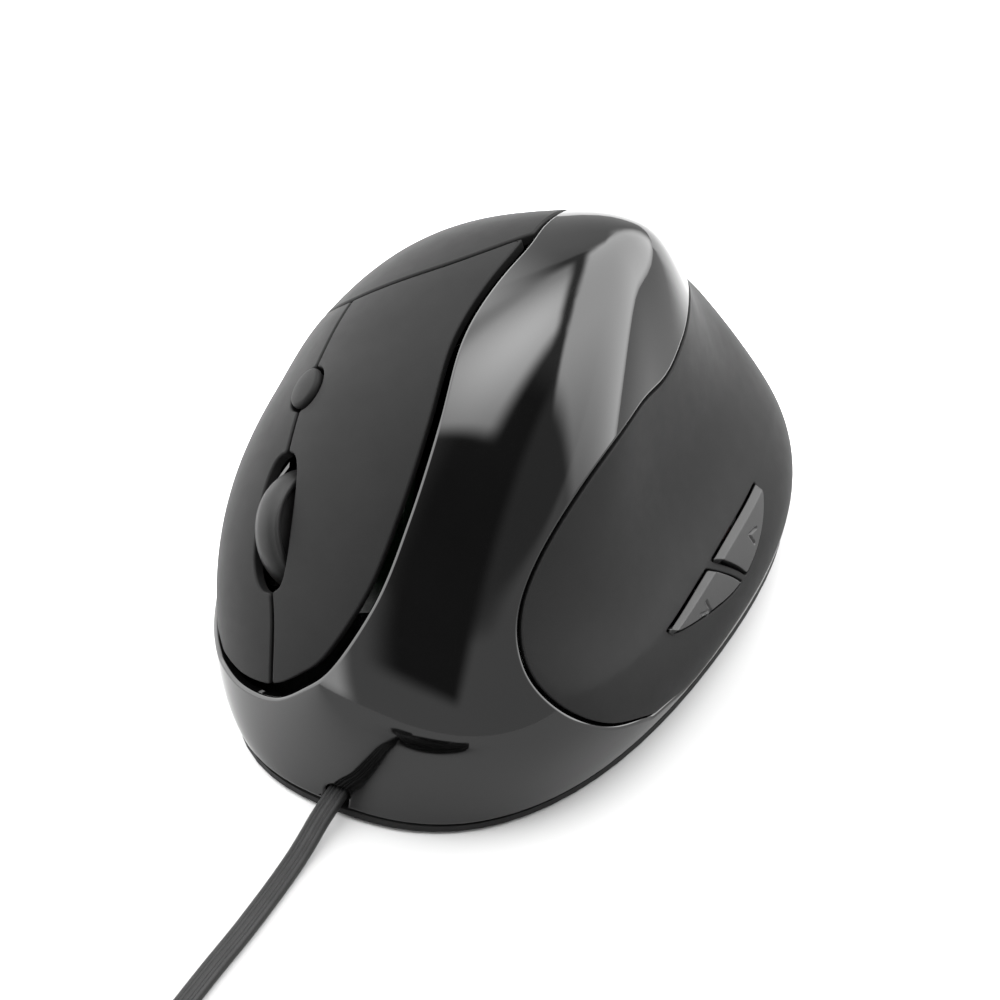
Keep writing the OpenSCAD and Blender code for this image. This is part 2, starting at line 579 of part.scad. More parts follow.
// Thumb buttons: a front one and a back one in that opening, split by a slanted gap
split_low = 4.5;
split_high = 4.18;
tip_turn = 16;
side_flush = 0.2;
side_rows = 4;
side_button_cols = 9;
side_taper = 0.4;
function key_half(gap) = side_half - gap / crease_pace / crease_last;
function side_plan(u, w, gap) = let (h = low_tall(u))
  plan(low_sides, u, 1 - mix(moon(u, key_half(gap), side_depth - gap), gap, w) / h);
function split_u(w, sign) = mix(split_low, split_high, w) / crease_last
  + sign * side_split / 2 / crease_pace / crease_last;
function side_grid(sign, gap) =
  let (tip = side_mid + sign * key_half(gap) * cos(tip_turn))
  [for (j = [0:side_rows]) let (w = j / side_rows) [for (i = [0:side_button_cols])
    side_plan(mix(tip, split_u(w, sign), i / side_button_cols), w, gap)]];
module side_skin(sign) {
  outer = side_grid(sign, side_gap);
  inner = side_grid(sign, side_gap + side_taper);
  function rise(j) = mix(side_flush, side_proud, j / side_rows);
  slab([for (j = [0:side_rows]) [for (p = outer[j]) below(p, -rise(j))]],
    [for (j = [0:side_rows]) [for (p = inner[j]) below(p, side_thick - rise(j))]]);
}
// Frame of the thumb board: x forward, y down the wall, z outward
thumb_plan = plan(low_sides, side_mid, mix(side_foot(side_mid), 1, 0.5));
thumb_frame = skin_frame(thumb_plan, [0, 1]);
thumb_top = -thumb_board_depth;
thumb_tact_top = thumb_top + tact_height + plunger_proud;
forward_spot = [9.5, 0];
back_spot = [-10.5, 0];
side_post = 3;
thumb_board_size = [40, 12];
module side_stem(spot) {
  roof = skin_height(thumb_frame, spot, thumb_plan) - side_thick / 3;
  in_frame(thumb_frame) translate([spot[0], spot[1], thumb_tact_top + plunger_air])
    cylinder(d = side_post, h = roof - thumb_tact_top - plunger_air);
}

// Spine cover: a band from the front skirt over the top to the back, with a rim along each side
skirt_rows = 3;
band_rows = 34;
band_cols = 12;
rim_cols = 14;
function polar_mix(a, b, u) =
  let (ta = atan2(a[1], a[0]), raw = atan2(b[1], b[0]))
  let (tb = a[1] > 0 || raw < 0 ? raw : raw - 360, t = mix(ta, tb, u))
  mix(norm(a), norm(b), u) * [cos(t), sin(t)];
function band_point(place, u) =
  let (a = line_at(finger_edge, place), b = line_at(thumb_edge, place))
  let (flat = ease((place - 3) / 4) * ease((edge_last - 3 - place) / 3))
  mix(polar_mix(a, b, u), mix(a, b, u), flat);
function toward_base(p, share) = p * (1 + (norm(p) - 1) * share) / norm(p);
band_total = band_rows + 2 * skirt_rows;
function band_plan(j, u) =
  j < skirt_rows ? toward_base(band_point(0, u), j / skirt_rows) :
  j > band_rows + skirt_rows ? toward_base(band_point(edge_last, u), (band_total - j) / skirt_rows) :
  band_point((j - skirt_rows) / band_rows * edge_last, u);
function lean(j) = min(1, j / skirt_rows, (band_total - j) / skirt_rows);
function inside(p, share) = let (n = normal(p))
  skin(p) - cover_wall * unit([n[0], n[1], n[2] * share]);
module cover_skin() {
  band = [for (j = [0:band_total]) [for (i = [0:band_cols]) band_plan(j, i / band_cols)]];
  rims = [for (rim = [finger_rim, thumb_rim]) [for (j = [0:skirt_rows]) [for (i = [0:rim_cols])
    toward_base(line_at(rim, i / rim_cols * (len(rim) - 1)), j / skirt_rows)]]];
  band_size = (band_total + 1) * (band_cols + 1);
  rim_size = (skirt_rows + 1) * (rim_cols + 1);
  outer = concat(join([for (r = band) [for (p = r) skin(p)]]),
    join([for (rim = rims) join([for (r = rim) [for (p = r) skin(p)]])]));
  inner = concat(
    join([for (j = [0:band_total]) [for (p = band[j]) inside(p, lean(j))]]),
    join([for (rim = rims) join([for (j = [0:skirt_rows]) [for (p = rim[j])
      inside(p, j / skirt_rows)]])]));
  half = len(outer);
  function at(j, i) = j * (band_cols + 1) + i;
  function rim_at(k, j, i) =
    i == 0 ? at(j, k * band_cols) :
    i == rim_cols ? at(band_total - j, k * band_cols) :
    band_size + k * rim_size + j * (rim_cols + 1) + i;
  band_faces = join([for (j = [0:band_total - 1]) for (i = [0:band_cols - 1])
    let (a = at(j, i), b = at(j, i + 1), c = at(j + 1, i + 1), d = at(j + 1, i))
    concat(quad(a, b, c, d), quad(half + a, half + d, half + c, half + b))]);
  band_ends = join([for (i = [0:band_cols - 1])
    let (a = at(0, i), b = at(0, i + 1), c = at(band_total, i), d = at(band_total, i + 1))
    concat(quad(b, a, half + a, half + b), quad(c, d, half + d, half + c))]);
  band_flanks = join([for (j = [skirt_rows:band_total - skirt_rows - 1])
    let (a = at(j, 0), b = at(j + 1, 0), c = at(j, band_cols), d = at(j + 1, band_cols))
    concat(quad(a, b, half + b, half + a), quad(d, c, half + c, half + d))]);
  function rim_faces(k) = concat(
    join([for (j = [0:skirt_rows - 1]) for (i = [0:rim_cols - 1])
      let (a = rim_at(k, j, i), b = rim_at(k, j, i + 1))
      let (c = rim_at(k, j + 1, i + 1), d = rim_at(k, j + 1, i))
      concat(quad(a, b, c, d), quad(half + a, half + d, half + c, half + b))]),
    join([for (i = [0:rim_cols - 1])
      let (a = rim_at(k, 0, i), b = rim_at(k, 0, i + 1))
      let (c = rim_at(k, skirt_rows, i), d = rim_at(k, skirt_rows, i + 1))
      concat(quad(b, a, half + a, half + b), quad(c, d, half + d, half + c))]));
  faces = concat(band_faces, band_ends, band_flanks, flip(rim_faces(0)), rim_faces(1));
  polyhedron(concat(outer, inner), flip(faces), convexity = 10);
}
// Screw bosses of the cover
boss_plans = [[0.28, 0.77], [-0.3, 0.7], [-0.02, -0.92]];
boss_radius = 2.7;
boss_sink = 0.7;
boss_air = 0.1;
screw_clear = 0.05;
function boss_spot(p) = let (n = normal(p), s = skin(p), level = unit([n[0], n[1], 0]))
  let (steep = norm([n[0], n[1]]))
  [s[0], s[1], 0] - level * (boss_radius + boss_sink) * steep
  + [0, 0, s[2] - boss_radius * n[2] * 0.3 - boss_sink * n[2]];
module bosses() {
  for (p = boss_plans) let (b = boss_spot(p))
    translate([b[0], b[1], floor_z + boss_air])
      cylinder(r = boss_radius, h = b[2] - floor_z - boss_air);
}
module boss_holes() {
  for (p = boss_plans) let (b = boss_spot(p))
    translate([b[0], b[1], 0]) cylinder(r = screw_shank / 2 + screw_clear, h = b[2] - boss_sink);
}
cord_x = 0.3;
cord_air = 0.1;
cord_z = floor_z + cord_thick / 2 + cord_air;
cord_mouth = cord_z + cord_thick / 2 + cord_clear;
mouth_deep = 10;
function front_y() = skin([0, 1])[1];
module cord_mouth_cut() {
  translate([cord_x - cord_width / 2 - cord_clear, front_y() - mouth_deep, 0])
    cube([cord_width + 2 * cord_clear, 2 * mouth_deep, cord_mouth]);
}

// Base plate
outline_points = 72;
// Plan distance at which the skin reaches a height, along one plan direction
function plan_reach(dir, z, r, turns) =
  turns == 0 ? r :
  let (h = skin(r * dir)[2], slope = (h - skin((r - probe) * dir)[2]) / probe)
  plan_reach(dir, z, r + (z - h) / slope, turns - 1);
// Edge of the base, drawn in by an inset and by what the skin leans in up to a height
function base_point(i, inset, height) =
  let (a = 360 * i / outline_points, p = [cos(a), sin(a)], n = normal(p), s = skin(p))
  let (level = unit([n[0], n[1], 0]), q = skin(p * plan_reach(p, height, 1 - probe, 4)))
  let (r = s - (inset + max(0, (s - q) * level)) * level) [r[0], r[1]];
module base_outline(inset, height) {
  polygon([for (i = [0:outline_points - 1]) base_point(i, inset, height)]);
}
sensor_spot = [-7, 0];
window_size = [9, 7];
post_radius = 2.6;
main_board_box = [[-17, -39], [4, 34]];
board_posts = [[-13, -34], [0, -34], [-13, 29], [0, 20]];
board_screw_shank = 2;
board_screw_head = 4;
board_screw_tall = 1.4;
board_screw_deep = 4;
main_top = floor_z + main_board_rise + board_thick;
foot_tall = foot_proud + foot_pocket;
foot_air = 0.1;
feet = [[-5, 40, 0], [-6, -46, 0], [-33, -6, 90], [26, -6, 90]];
module foot_print(grow) {
  r = foot_width / 2 + grow;
  run = foot_length / 2 - foot_width / 2;
  for (side = [-1, 1]) translate([side * run, 0]) circle(r);
  square([2 * run, 2 * r], center = true);
}
module each_foot() {
  for (f = feet) translate([f[0], f[1], 0]) rotate([0, 0, f[2]]) children();
}
head_air = 0.15;
head_level = foot_proud + 0.1;

module base_plate() {
  color("DimGray") difference() {
    union() {
      translate([0, 0, foot_proud]) linear_extrude(flange_thick) base_outline(0, seat_z);
      translate([0, 0, foot_proud]) linear_extrude(base_thick)
        base_outline(cover_wall + base_clear, floor_z);
      for (p = board_posts) translate([p[0], p[1], floor_z - 0.5])
        cylinder(r = post_radius, h = main_board_rise + 0.5);
    }
    translate([sensor_spot[0] - window_size[0] / 2, sensor_spot[1] - window_size[1] / 2, 0])
      cube([window_size[0], window_size[1], floor_z + 1]);
    each_foot() translate([0, 0, -1]) linear_extrude(foot_tall + 1) foot_print(foot_air);
    for (p = boss_plans) let (b = boss_spot(p)) translate([b[0], b[1], 0]) {
      cylinder(r = screw_shank / 2 + head_air, h = floor_z + 1);
      cylinder(r = screw_head / 2 + head_air, h = head_level + screw_head_tall);
    }
    for (i = [0, 2])
      translate([board_posts[i][0], board_posts[i][1], main_top - board_thick - board_screw_deep])
        cylinder(r = board_screw_shank / 2 + screw_clear, h = board_screw_deep + 1);
  }
}
module spine_cover() {
  color("Black") difference() {
    union() {
      cover_skin();
      bosses();
    }
    boss_holes();
    cord_mouth_cut();
  }
}
module thumb_panel() {
  color("DarkSlateGray") thumb_skin();
}
module palm_panel() {
  color("DarkSlateGray") union() {
    palm_skin();
    hinge_ears(left_hinge, left_hinge_plan, left_hinge_depth, left_slant);
    hinge_ears(right_hinge, right_hinge_plan, right_hinge_depth, right_slant);
  }
}
module left_button() {
  color("SlateGray") union() {
    left_skin();
    hinge_lug(left_hinge, left_hinge_plan, left_hinge_depth);
    click_post(left_switch_x, wheel_plan);
  }
}
module right_button() {
  color("SlateGray") union() {
    right_skin();
    hinge_lug(right_hinge, right_hinge_plan, right_hinge_depth);
    click_post(right_switch_x, wheel_plan);
  }
}
module forward_button() {
  color("LightSlateGray") union() {
    side_skin(-1);
    side_stem(forward_spot);
  }
}
module back_button() {
  color("LightSlateGray") union() {
    side_skin(1);
    side_stem(back_spot);
  }
}
oval_sides = 32;
oval_tall = 2.6;
oval_brim = 1.2;
oval_waist = 0.6;
oval_bevel = 0.4;
oval_post = 3;
module oval_print(inset) {
  polygon([for (i = [0:oval_sides - 1]) let (a = 360 * i / oval_sides)
    [(oval_width / 2 - inset) * cos(a), (oval_length / 2 - inset) * sin(a)]]);
}
module oval_button() {
  top = oval_proud - button_recess;
  roof = oval_spot[2] - button_recess - 1;
  color("LightSlateGray") union() {
    in_frame(oval_frame) {
      translate([0, 0, top - oval_tall]) linear_extrude(oval_tall - oval_bevel) oval_print(oval_waist);
      translate([0, 0, top - oval_brim]) linear_extrude(oval_brim - oval_bevel) oval_print(0);
      translate([0, 0, top - oval_bevel]) linear_extrude(oval_bevel) oval_print(oval_bevel);
    }
    in_frame(wheel_frame) translate([oval_spot[0], oval_spot[1], tact_top + plunger_air])
      cylinder(d = oval_post, h = roof - tact_top - plunger_air);
  }
}
hub_radius = wheel_radius - tyre_thick;
hub_shy = 0.3;
fit_air = 0.02;
module along_axle() {
  in_frame(wheel_frame) translate([0, 0, -wheel_drop]) rotate([0, 90, 0]) children();
}
module wheel_hub() {
  color("Gray") along_axle() difference() {
    cylinder(r = hub_radius, h = wheel_width - 2 * hub_shy, center = true);
    cylinder(r = axle_diameter / 2 + fit_air, h = wheel_width, center = true);
  }
}
crown_steps = 8;
module wheel_tyre() {
  half = wheel_width / 2;
  crown = [for (i = [0:crown_steps]) let (a = -90 + 180 * i / crown_steps)
    [hub_radius + 0.4 + (tyre_thick - 0.4) * cos(a), half * sin(a)]];
  color("DarkGray") along_axle() rotate_extrude()
    polygon(concat([[hub_radius + fit_air, -half]], crown, [[hub_radius + fit_air, half]]));
}
axle_reach = arm_outer + 0.6;
module wheel_axle() {
  color("Silver") along_axle() cylinder(d = axle_diameter, h = 2 * axle_reach, center = true);
}
tab_low = tact_top + plunger_air;
tab_thick = 2;
module wheel_carrier() {
  low = board_top + arm_low;
  color("White") in_frame(wheel_frame) difference() {
    union() {
      for (side = [-1, 1]) translate([side > 0 ? arm_inner : -arm_outer, 0, low]) {
        translate([0, cross_back, 0]) cube([arm_thick, arm_front - cross_back, cross_tall]);
        translate([0, -arm_front, 0]) cube([arm_thick, 2 * arm_front, arm_tall]);
      }
      translate([-arm_outer, cross_back, low]) cube([2 * arm_outer, cross_deep, cross_tall]);
      translate([middle_spot[0] - tact_side / 2, cross_back, tab_low])
        cube([-arm_inner - middle_spot[0] + tact_side / 2, tab_deep, tab_thick]);
    }
    translate([-arm_outer - 1, 0, -wheel_drop]) rotate([0, 90, 0])
      cylinder(r = axle_diameter / 2 + pin_clear, h = 2 * arm_outer + 2);
  }
}
eye_size = [1.8, 4, 6];
eye_place = 5.2;
module wheel_encoder() {
  color("DarkRed") in_frame(wheel_frame) for (side = [-1, 1])
    translate([side > 0 ? board_slot_half : -board_slot_half - eye_size[0], eye_place, board_top])
      cube(eye_size);
}
module button_pins() {
  color("Silver") {
    hinge_pin_rod(left_hinge, left_hinge_depth);
    hinge_pin_rod(right_hinge, right_hinge_depth);
  }
}
bracket_thick = 2;
bracket_inset = 1.4;
column_radius = 3;
columns = [[9, 27], [26, 24], [17, 8]];
column_tall = 60;
guide_tall = 4.5;
module finger_bracket() {
  under = board_top - board_thick;
  color("Beige") union() {
    in_frame(wheel_frame) {
      translate([0, 0, under - bracket_thick]) linear_extrude(bracket_thick) difference() {
        board_outline(bracket_inset);
        slot_print(1);
      }
      translate([0, 0, under - bracket_thick / 2])
        linear_extrude(bracket_thick / 2 + board_thick + guide_tall) guide_prints(0);
    }
    difference() {
      for (c = columns) translate([c[0], c[1], floor_z])
        cylinder(r = column_radius, h = column_tall);
      in_frame(wheel_frame) translate([-column_tall, -column_tall, under - bracket_thick / 2])
        cube(2 * column_tall);
    }
  }
}
module finger_board() {
  color("ForestGreen") in_frame(wheel_frame) translate([0, 0, board_top - board_thick])
    linear_extrude(board_thick) difference() {
      board_outline(0);
      slot_print(0);
      guide_prints(0.2);
    }
}
module left_switch() {
  color("Black") click_body(left_switch_x);
}
module right_switch() {
  color("Black") click_body(right_switch_x);
}
module middle_switch() {
  color("Black") tact_body(wheel_frame, middle_spot, board_top);
}
module oval_switch() {
  color("Black") tact_body(wheel_frame, oval_spot, board_top);
}
module left_plunger() {
  color("Red") click_plunger(left_switch_x);
}
module right_plunger() {
  color("Red") click_plunger(right_switch_x);
}
module middle_plunger() {
  color("Red") tact_plunger(wheel_frame, middle_spot, board_top);
}
module oval_plunger() {
  color("Red") tact_plunger(wheel_frame, oval_spot, board_top);
}
rib_thick = 3;
rib_spread = 13;
rib_back_x = -19;
rib_front_x = -34;
rib_tall = 16;
foot_bar_tall = 2;
module thumb_bracket() {
  middle_y = thumb_frame[0][1];
  color("Beige") difference() {
    union() {
      for (side = [-1, 1]) translate([rib_front_x, middle_y + side * rib_spread - rib_thick / 2, floor_z])
        cube([rib_back_x - rib_front_x, rib_thick, rib_tall]);
      translate([rib_front_x, middle_y - rib_spread, floor_z])
        cube([rib_back_x - rib_front_x, 2 * rib_spread, foot_bar_tall]);
    }
    in_frame(thumb_frame) translate([-50, -50, thumb_top - board_thick]) cube(100);
  }
}
module thumb_board() {
  color("ForestGreen") in_frame(thumb_frame)
    translate([-thumb_board_size[0] / 2, -thumb_board_size[1] / 2, thumb_top - board_thick])
      cube([thumb_board_size[0], thumb_board_size[1], board_thick]);
}
module forward_switch() {
  color("Black") tact_body(thumb_frame, forward_spot, thumb_top);
}
module back_switch() {
  color("Black") tact_body(thumb_frame, back_spot, thumb_top);
}
module forward_plunger() {
  color("Red") tact_plunger(thumb_frame, forward_spot, thumb_top);
}
module back_plunger() {
  color("Red") tact_plunger(thumb_frame, back_spot, thumb_top);
}
module main_board() {
  low = main_board_box[0];
  high = main_board_box[1];
  color("ForestGreen") difference() {
    translate([low[0], low[1], main_top - board_thick])
      cube([high[0] - low[0], high[1] - low[1], board_thick]);
    for (i = [0, 2]) translate([board_posts[i][0], board_posts[i][1], 0])
      cylinder(r = board_screw_shank / 2 + head_air, h = main_top + 1);
    translate([sensor_spot[0], sensor_spot[1], 0]) cylinder(d = 6, h = main_top + 1);
  }
}
module board_screws() {
  color("Silver") for (i = [0, 2]) translate([board_posts[i][0], board_posts[i][1], main_top]) {
    cylinder(d = board_screw_head, h = board_screw_tall);
    translate([0, 0, -board_thick - board_screw_deep + 0.5])
      cylinder(d = board_screw_shank, h = board_thick + board_screw_deep);
  }
}
sensor_size = [10, 12, 3.2];
module optical_sensor() {
  color("Black") translate([sensor_spot[0] - sensor_size[0] / 2, sensor_spot[1] - sensor_size[1] / 2,
    main_top]) cube(sensor_size);
}
lens_size = [14, 18];
lens_air = 0.1;
module sensor_lens() {
  color("LightCyan") union() {
    translate([sensor_spot[0] - lens_size[0] / 2, sensor_spot[1] - lens_size[1] / 2, floor_z + lens_air])
      cube([lens_size[0], lens_size[1], main_board_rise - 2 * lens_air]);
    translate([sensor_spot[0] - window_size[0] / 2 + 0.2, sensor_spot[1] - window_size[1] / 2 + 0.2,
      foot_proud + 0.5])
      cube([window_size[0] - 0.4, window_size[1] - 0.4, base_thick]);
  }
}
led_size = [3, 5, 3];
module sensor_led() {
  color("Red") translate([sensor_spot[0] - led_size[0] / 2, sensor_spot[1] + sensor_size[1] / 2 + 1,
    main_top]) cube(led_size);
}

// Tubes and strips swept along points: wide and thin half sizes, with the wide way at each point
function tangent(path, i) = let (n = len(path) - 1)
  unit(i == 0 ? path[1] - path[0] : i == n ? path[n] - path[n - 1] : path[i + 1] - path[i - 1]);
function ring(path, wides, i, section) =
  let (t = tangent(path, i), w = unit(wides[i] - (wides[i] * t) * t), h = cross(t, w))
  [for (s = section) path[i] + s[0] * w + s[1] * h];
module sweep(rings) {
  n = len(rings);
  m = len(rings[0]);
  sides = join([for (j = [0:n - 2]) for (i = [0:m - 1])
    let (a = j * m + i, b = j * m + (i + 1) % m, c = b + m, d = a + m) quad(a, b, c, d)]);
  front_cap = [for (i = [1:m - 2]) [0, i + 1, i]];
  back_cap = [for (i = [1:m - 2]) [(n - 1) * m, (n - 1) * m + i, (n - 1) * m + i + 1]];
  polyhedron(join(rings), flip(concat(sides, front_cap, back_cap)), convexity = 10);
}
ribbon_wide = 8;
ribbon_thin = 0.5;
ribbon_section = [[ribbon_wide / 2, ribbon_thin / 2], [-ribbon_wide / 2, ribbon_thin / 2],
  [-ribbon_wide / 2, -ribbon_thin / 2], [ribbon_wide / 2, -ribbon_thin / 2]];
ribbon_air = 0.9;
ribbon_rise = 3;
ribbon_level = board_top - board_thick - ribbon_air;
finger_ribbon_end = frame_point(wheel_frame, [board_left + 2, 0, ribbon_level]);
finger_ribbon_near = frame_point(wheel_frame, [board_left + 2, 0, ribbon_level - ribbon_rise]);
thumb_ribbon_end = frame_point(thumb_frame, [0, -thumb_board_size[1] / 2 + 1,
  thumb_top - board_thick - ribbon_air]);
module ribbon(path, wide_end) {
  last = len(path) - 1;
  wides = [for (i = [0:last]) mix([0, 1, 0], wide_end, i / last)];
  sweep([for (i = [0:last]) ring(path, wides, i, ribbon_section)]);
}
module board_ribbons() {
  start = main_top + ribbon_thin / 2 + 0.1;
  color("Khaki") {
    ribbon([[-5, 18, start], [-2.4, 18, start + 0.6], [-0.6, 18.2, start + 4],
      mix([-0.6, 18.2, start + 4], finger_ribbon_near, 0.6), finger_ribbon_near, finger_ribbon_end],
      wheel_frame[2]);
    ribbon([[-13, -8, start], [-15.5, -8, start + 0.4], [-17.5, -8, start + 2.4],
      mix([-17.5, -8, start + 2.4], thumb_ribbon_end, 0.5) + [0.4, 0, 0.8], thumb_ribbon_end],
      thumb_frame[1]);
  }
}
socket_size = [9, 6, 4.6];
socket_front = 33;
socket_x = -6;
module cord_connector() {
  color("White") translate([socket_x - socket_size[0] / 2, socket_front - socket_size[1], main_top])
    cube(socket_size);
}
grommet_size = [4.4, 5, 2.6];
grommet_front = 52.2;
module cord_grommet() {
  color("Black") translate([cord_x - grommet_size[0] / 2, grommet_front - grommet_size[1], floor_z])
    cube([grommet_size[0], grommet_size[1], cord_z - floor_z + grommet_size[2] / 2]);
}
flat_half = cord_width / 2;
thin_half = cord_thick / 2;
corner = cord_thick * 0.3;
cord_section = [[flat_half, thin_half - corner], [flat_half - corner, thin_half],
  [corner - flat_half, thin_half], [-flat_half, thin_half - corner],
  [-flat_half, corner - thin_half], [corner - flat_half, -thin_half],
  [flat_half - corner, -thin_half], [flat_half, corner - thin_half]];
lead_level = main_top + socket_size[2] / 2;
lead_path = [[cord_x, grommet_front - grommet_size[1], cord_z], [cord_x, 45.4, cord_z],
  [-0.6, 42.8, cord_z + 0.8], [-2.8, 40.2, mix(cord_z, lead_level, 0.5)],
  [-5, 37.8, lead_level - 0.8], [socket_x, 35.6, lead_level], [socket_x, socket_front, lead_level]];
module cord_lead() {
  color("Black") sweep([for (i = [0:len(lead_path) - 1])
    ring(lead_path, [for (p = lead_path) [1, 0, 0]], i, cord_section)]);
}

// Cord: free stretch on the desk, then a hand coil of two layers held by a strap
rest_z = thin_half + 0.05;
coil_mid = [-25, 142];
coil_radius = 27;
coil_pitch = 2.5;
layer_turns = 5.5;
climb_turns = 0.5;
layer_air = 0.5;
strap_thick = 0.6;
strap_air = 0.45;
coil_low = flat_half + strap_thick + strap_air;
coil_high = coil_low + cord_width + layer_air;
free_path = [[cord_x, grommet_front, cord_z], [cord_x, 56, cord_z], [cord_x, 60, cord_z],
  [0.55, 64, mix(rest_z, cord_z, 0.7)], [0.62, 68, mix(rest_z, cord_z, 0.36)],
  [0.7, 72, mix(rest_z, cord_z, 0.1)], [0.75, 77, rest_z], [0.8, 83, rest_z], [1, 90, rest_z],
  [1.4, 97, rest_z], [1.7, 104, rest_z], [1.9, 110, rest_z],
  [2, 116, rest_z], [2, 120, mix(rest_z, coil_low, 0.1)], [2, 124, mix(rest_z, coil_low, 0.35)],
  [2, 128, mix(rest_z, coil_low, 0.7)], [2, 132, mix(rest_z, coil_low, 0.95)],
  [2, 135, coil_low], [2, 138, coil_low]];
twist_from = 110;
twist_to = 135;
function free_wide(p) = let (a = 90 * ease((p[1] - twist_from) / (twist_to - twist_from)))
  [cos(a), 0, sin(a)];
free_wides = [for (p = free_path) free_wide(p)];
module cord_free() {
  color("Black") sweep([for (i = [0:len(free_path) - 1])
    ring(free_path, free_wides, i, cord_section)]);
}
turn_rings = 24;
total_turns = 2 * layer_turns;
coil_rings = round(total_turns * turn_rings);
coil_deep = coil_radius - layer_turns * coil_pitch;
function coil_level(n) = mix(coil_low, coil_high, ease((n - layer_turns) / climb_turns + 0.5));
function coil_reach(n) = coil_deep + coil_pitch * abs(n - layer_turns);
function coil_point(n) = [coil_mid[0] + coil_reach(n) * cos(360 * n),
  coil_mid[1] + coil_reach(n) * sin(360 * n), coil_level(n)];
grip_z = grip_thick / 2 + 0.1;
tail = [[2, 149, coil_high - 0.2], [2.2, 156, mix(coil_high, grip_z, 0.35)],
  [2.6, 163, mix(coil_high, grip_z, 0.75)], [3, 170, grip_z], [3, 174, grip_z]];
coil_path = concat([free_path[len(free_path) - 1]],
  [for (i = [0:coil_rings]) coil_point(i / turn_rings)], tail);
hex_flat = flat_half - 0.9;
coil_section = [[flat_half, 0], [hex_flat, thin_half], [-hex_flat, thin_half], [-flat_half, 0],
  [-hex_flat, -thin_half], [hex_flat, -thin_half]];
coil_wides = [for (p = coil_path) [0, 0, 1]];
coil_tube = [for (i = [0:len(coil_path) - 1]) ring(coil_path, coil_wides, i, coil_section)];
module cord_coil() {
  color("Black") sweep(coil_tube);
}
// Least gap of the coil to itself, on its points
near = cord_width + 1.5;
apart = turn_rings / 2;
coil_gap = min([for (i = [0:len(coil_tube) - 1]) for (j = [i + apart:1:len(coil_tube) - 1])
  if (norm(coil_path[i] - coil_path[j]) < near)
    for (a = coil_tube[i]) for (b = coil_tube[j]) norm(a - b)]);
function path_length(p) = let (d = [for (i = [1:len(p) - 1]) norm(p[i] - p[i - 1])])
  d * [for (x = d) 1];
echo(least_coil_gap = coil_gap);
echo(cord_length = path_length(free_path) + path_length(coil_path));
strap_wide = 5;
module coil_tie() {
  inner_x = coil_deep - thin_half - strap_air;
  outer_x = coil_radius + thin_half + strap_air;
  low = coil_low - flat_half - strap_air;
  high = coil_high + flat_half + strap_air;
  color("DimGray") translate([coil_mid[0], coil_mid[1], 0]) rotate([90, 0, 180])
    translate([0, 0, -strap_wide / 2]) linear_extrude(strap_wide) difference() {
      translate([inner_x - strap_thick, low - strap_thick])
        square([outer_x - inner_x + 2 * strap_thick, high - low + 2 * strap_thick]);
      translate([inner_x, low]) square([outer_x - inner_x, high - low]);
    }
}
plug_x = 3;
plug_back = 174;
shell_wide = 12;
shell_thick = 4.5;
shell_long = 18.8;
shell_wall = 0.3;
grip_bevel = 1.2;
module rounded_bar(wide, thick, bevel) {
  polygon([[wide / 2 - bevel, thick / 2], [bevel - wide / 2, thick / 2],
    [-wide / 2, thick / 2 - bevel], [-wide / 2, bevel - thick / 2],
    [bevel - wide / 2, -thick / 2], [wide / 2 - bevel, -thick / 2],
    [wide / 2, bevel - thick / 2], [wide / 2, thick / 2 - bevel]]);
}
module along_plug(from) {
  translate([plug_x, plug_back + from, grip_z]) rotate([-90, 0, 0]) children();
}
module plug_grip() {
  color("Black") along_plug(0) linear_extrude(grip_length) rounded_bar(grip_width, grip_thick, grip_bevel);
}
module plug_shell() {
  color("Silver") along_plug(grip_length) linear_extrude(shell_long) difference() {
    square([shell_wide, shell_thick], center = true);
    square([shell_wide - 2 * shell_wall, shell_thick - 2 * shell_wall], center = true);
  }
}
tongue_wide = 11;
tongue_thick = 1.9;
tongue_long = 17;
module plug_tongue() {
  color("White") along_plug(grip_length)
    translate([-tongue_wide / 2, shell_wall + 0.15 - shell_thick / 2, 0])
      cube([tongue_wide, tongue_thick, tongue_long]);
}
contact_pitch = 2.2;
contact_size = [1.2, 0.2, 8];
module plug_contacts() {
  color("Gold") along_plug(grip_length) for (i = [-1.5:1:1.5])
    translate([i * contact_pitch - contact_size[0] / 2,
      shell_wall + 0.15 - shell_thick / 2 + tongue_thick, 3]) cube(contact_size);
}
module glide_feet() {
  color("White") each_foot() linear_extrude(foot_tall) foot_print(0);
}
module base_screws() {
  color("Silver") for (p = boss_plans) let (b = boss_spot(p)) translate([b[0], b[1], head_level]) {
    cylinder(d = screw_head, h = screw_head_tall);
    cylinder(d = screw_shank, h = b[2] - head_level - boss_sink - 0.5);
  }
}

base_plate();
spine_cover();
thumb_panel();
palm_panel();
left_button();
right_button();
forward_button();
back_button();
oval_button();
wheel_hub();
wheel_tyre();
wheel_axle();
wheel_carrier();
wheel_encoder();
button_pins();
finger_bracket();
finger_board();
left_switch();
right_switch();
middle_switch();
oval_switch();
left_plunger();
right_plunger();
middle_plunger();
oval_plunger();
thumb_bracket();
thumb_board();
forward_switch();
back_switch();
forward_plunger();
back_plunger();
main_board();
board_screws();
optical_sensor();
sensor_lens();
sensor_led();
board_ribbons();
cord_connector();
cord_grommet();
cord_lead();
base_screws();
glide_feet();
cord_free();
cord_coil();
coil_tie();
plug_grip();
plug_shell();
plug_tongue();
plug_contacts();
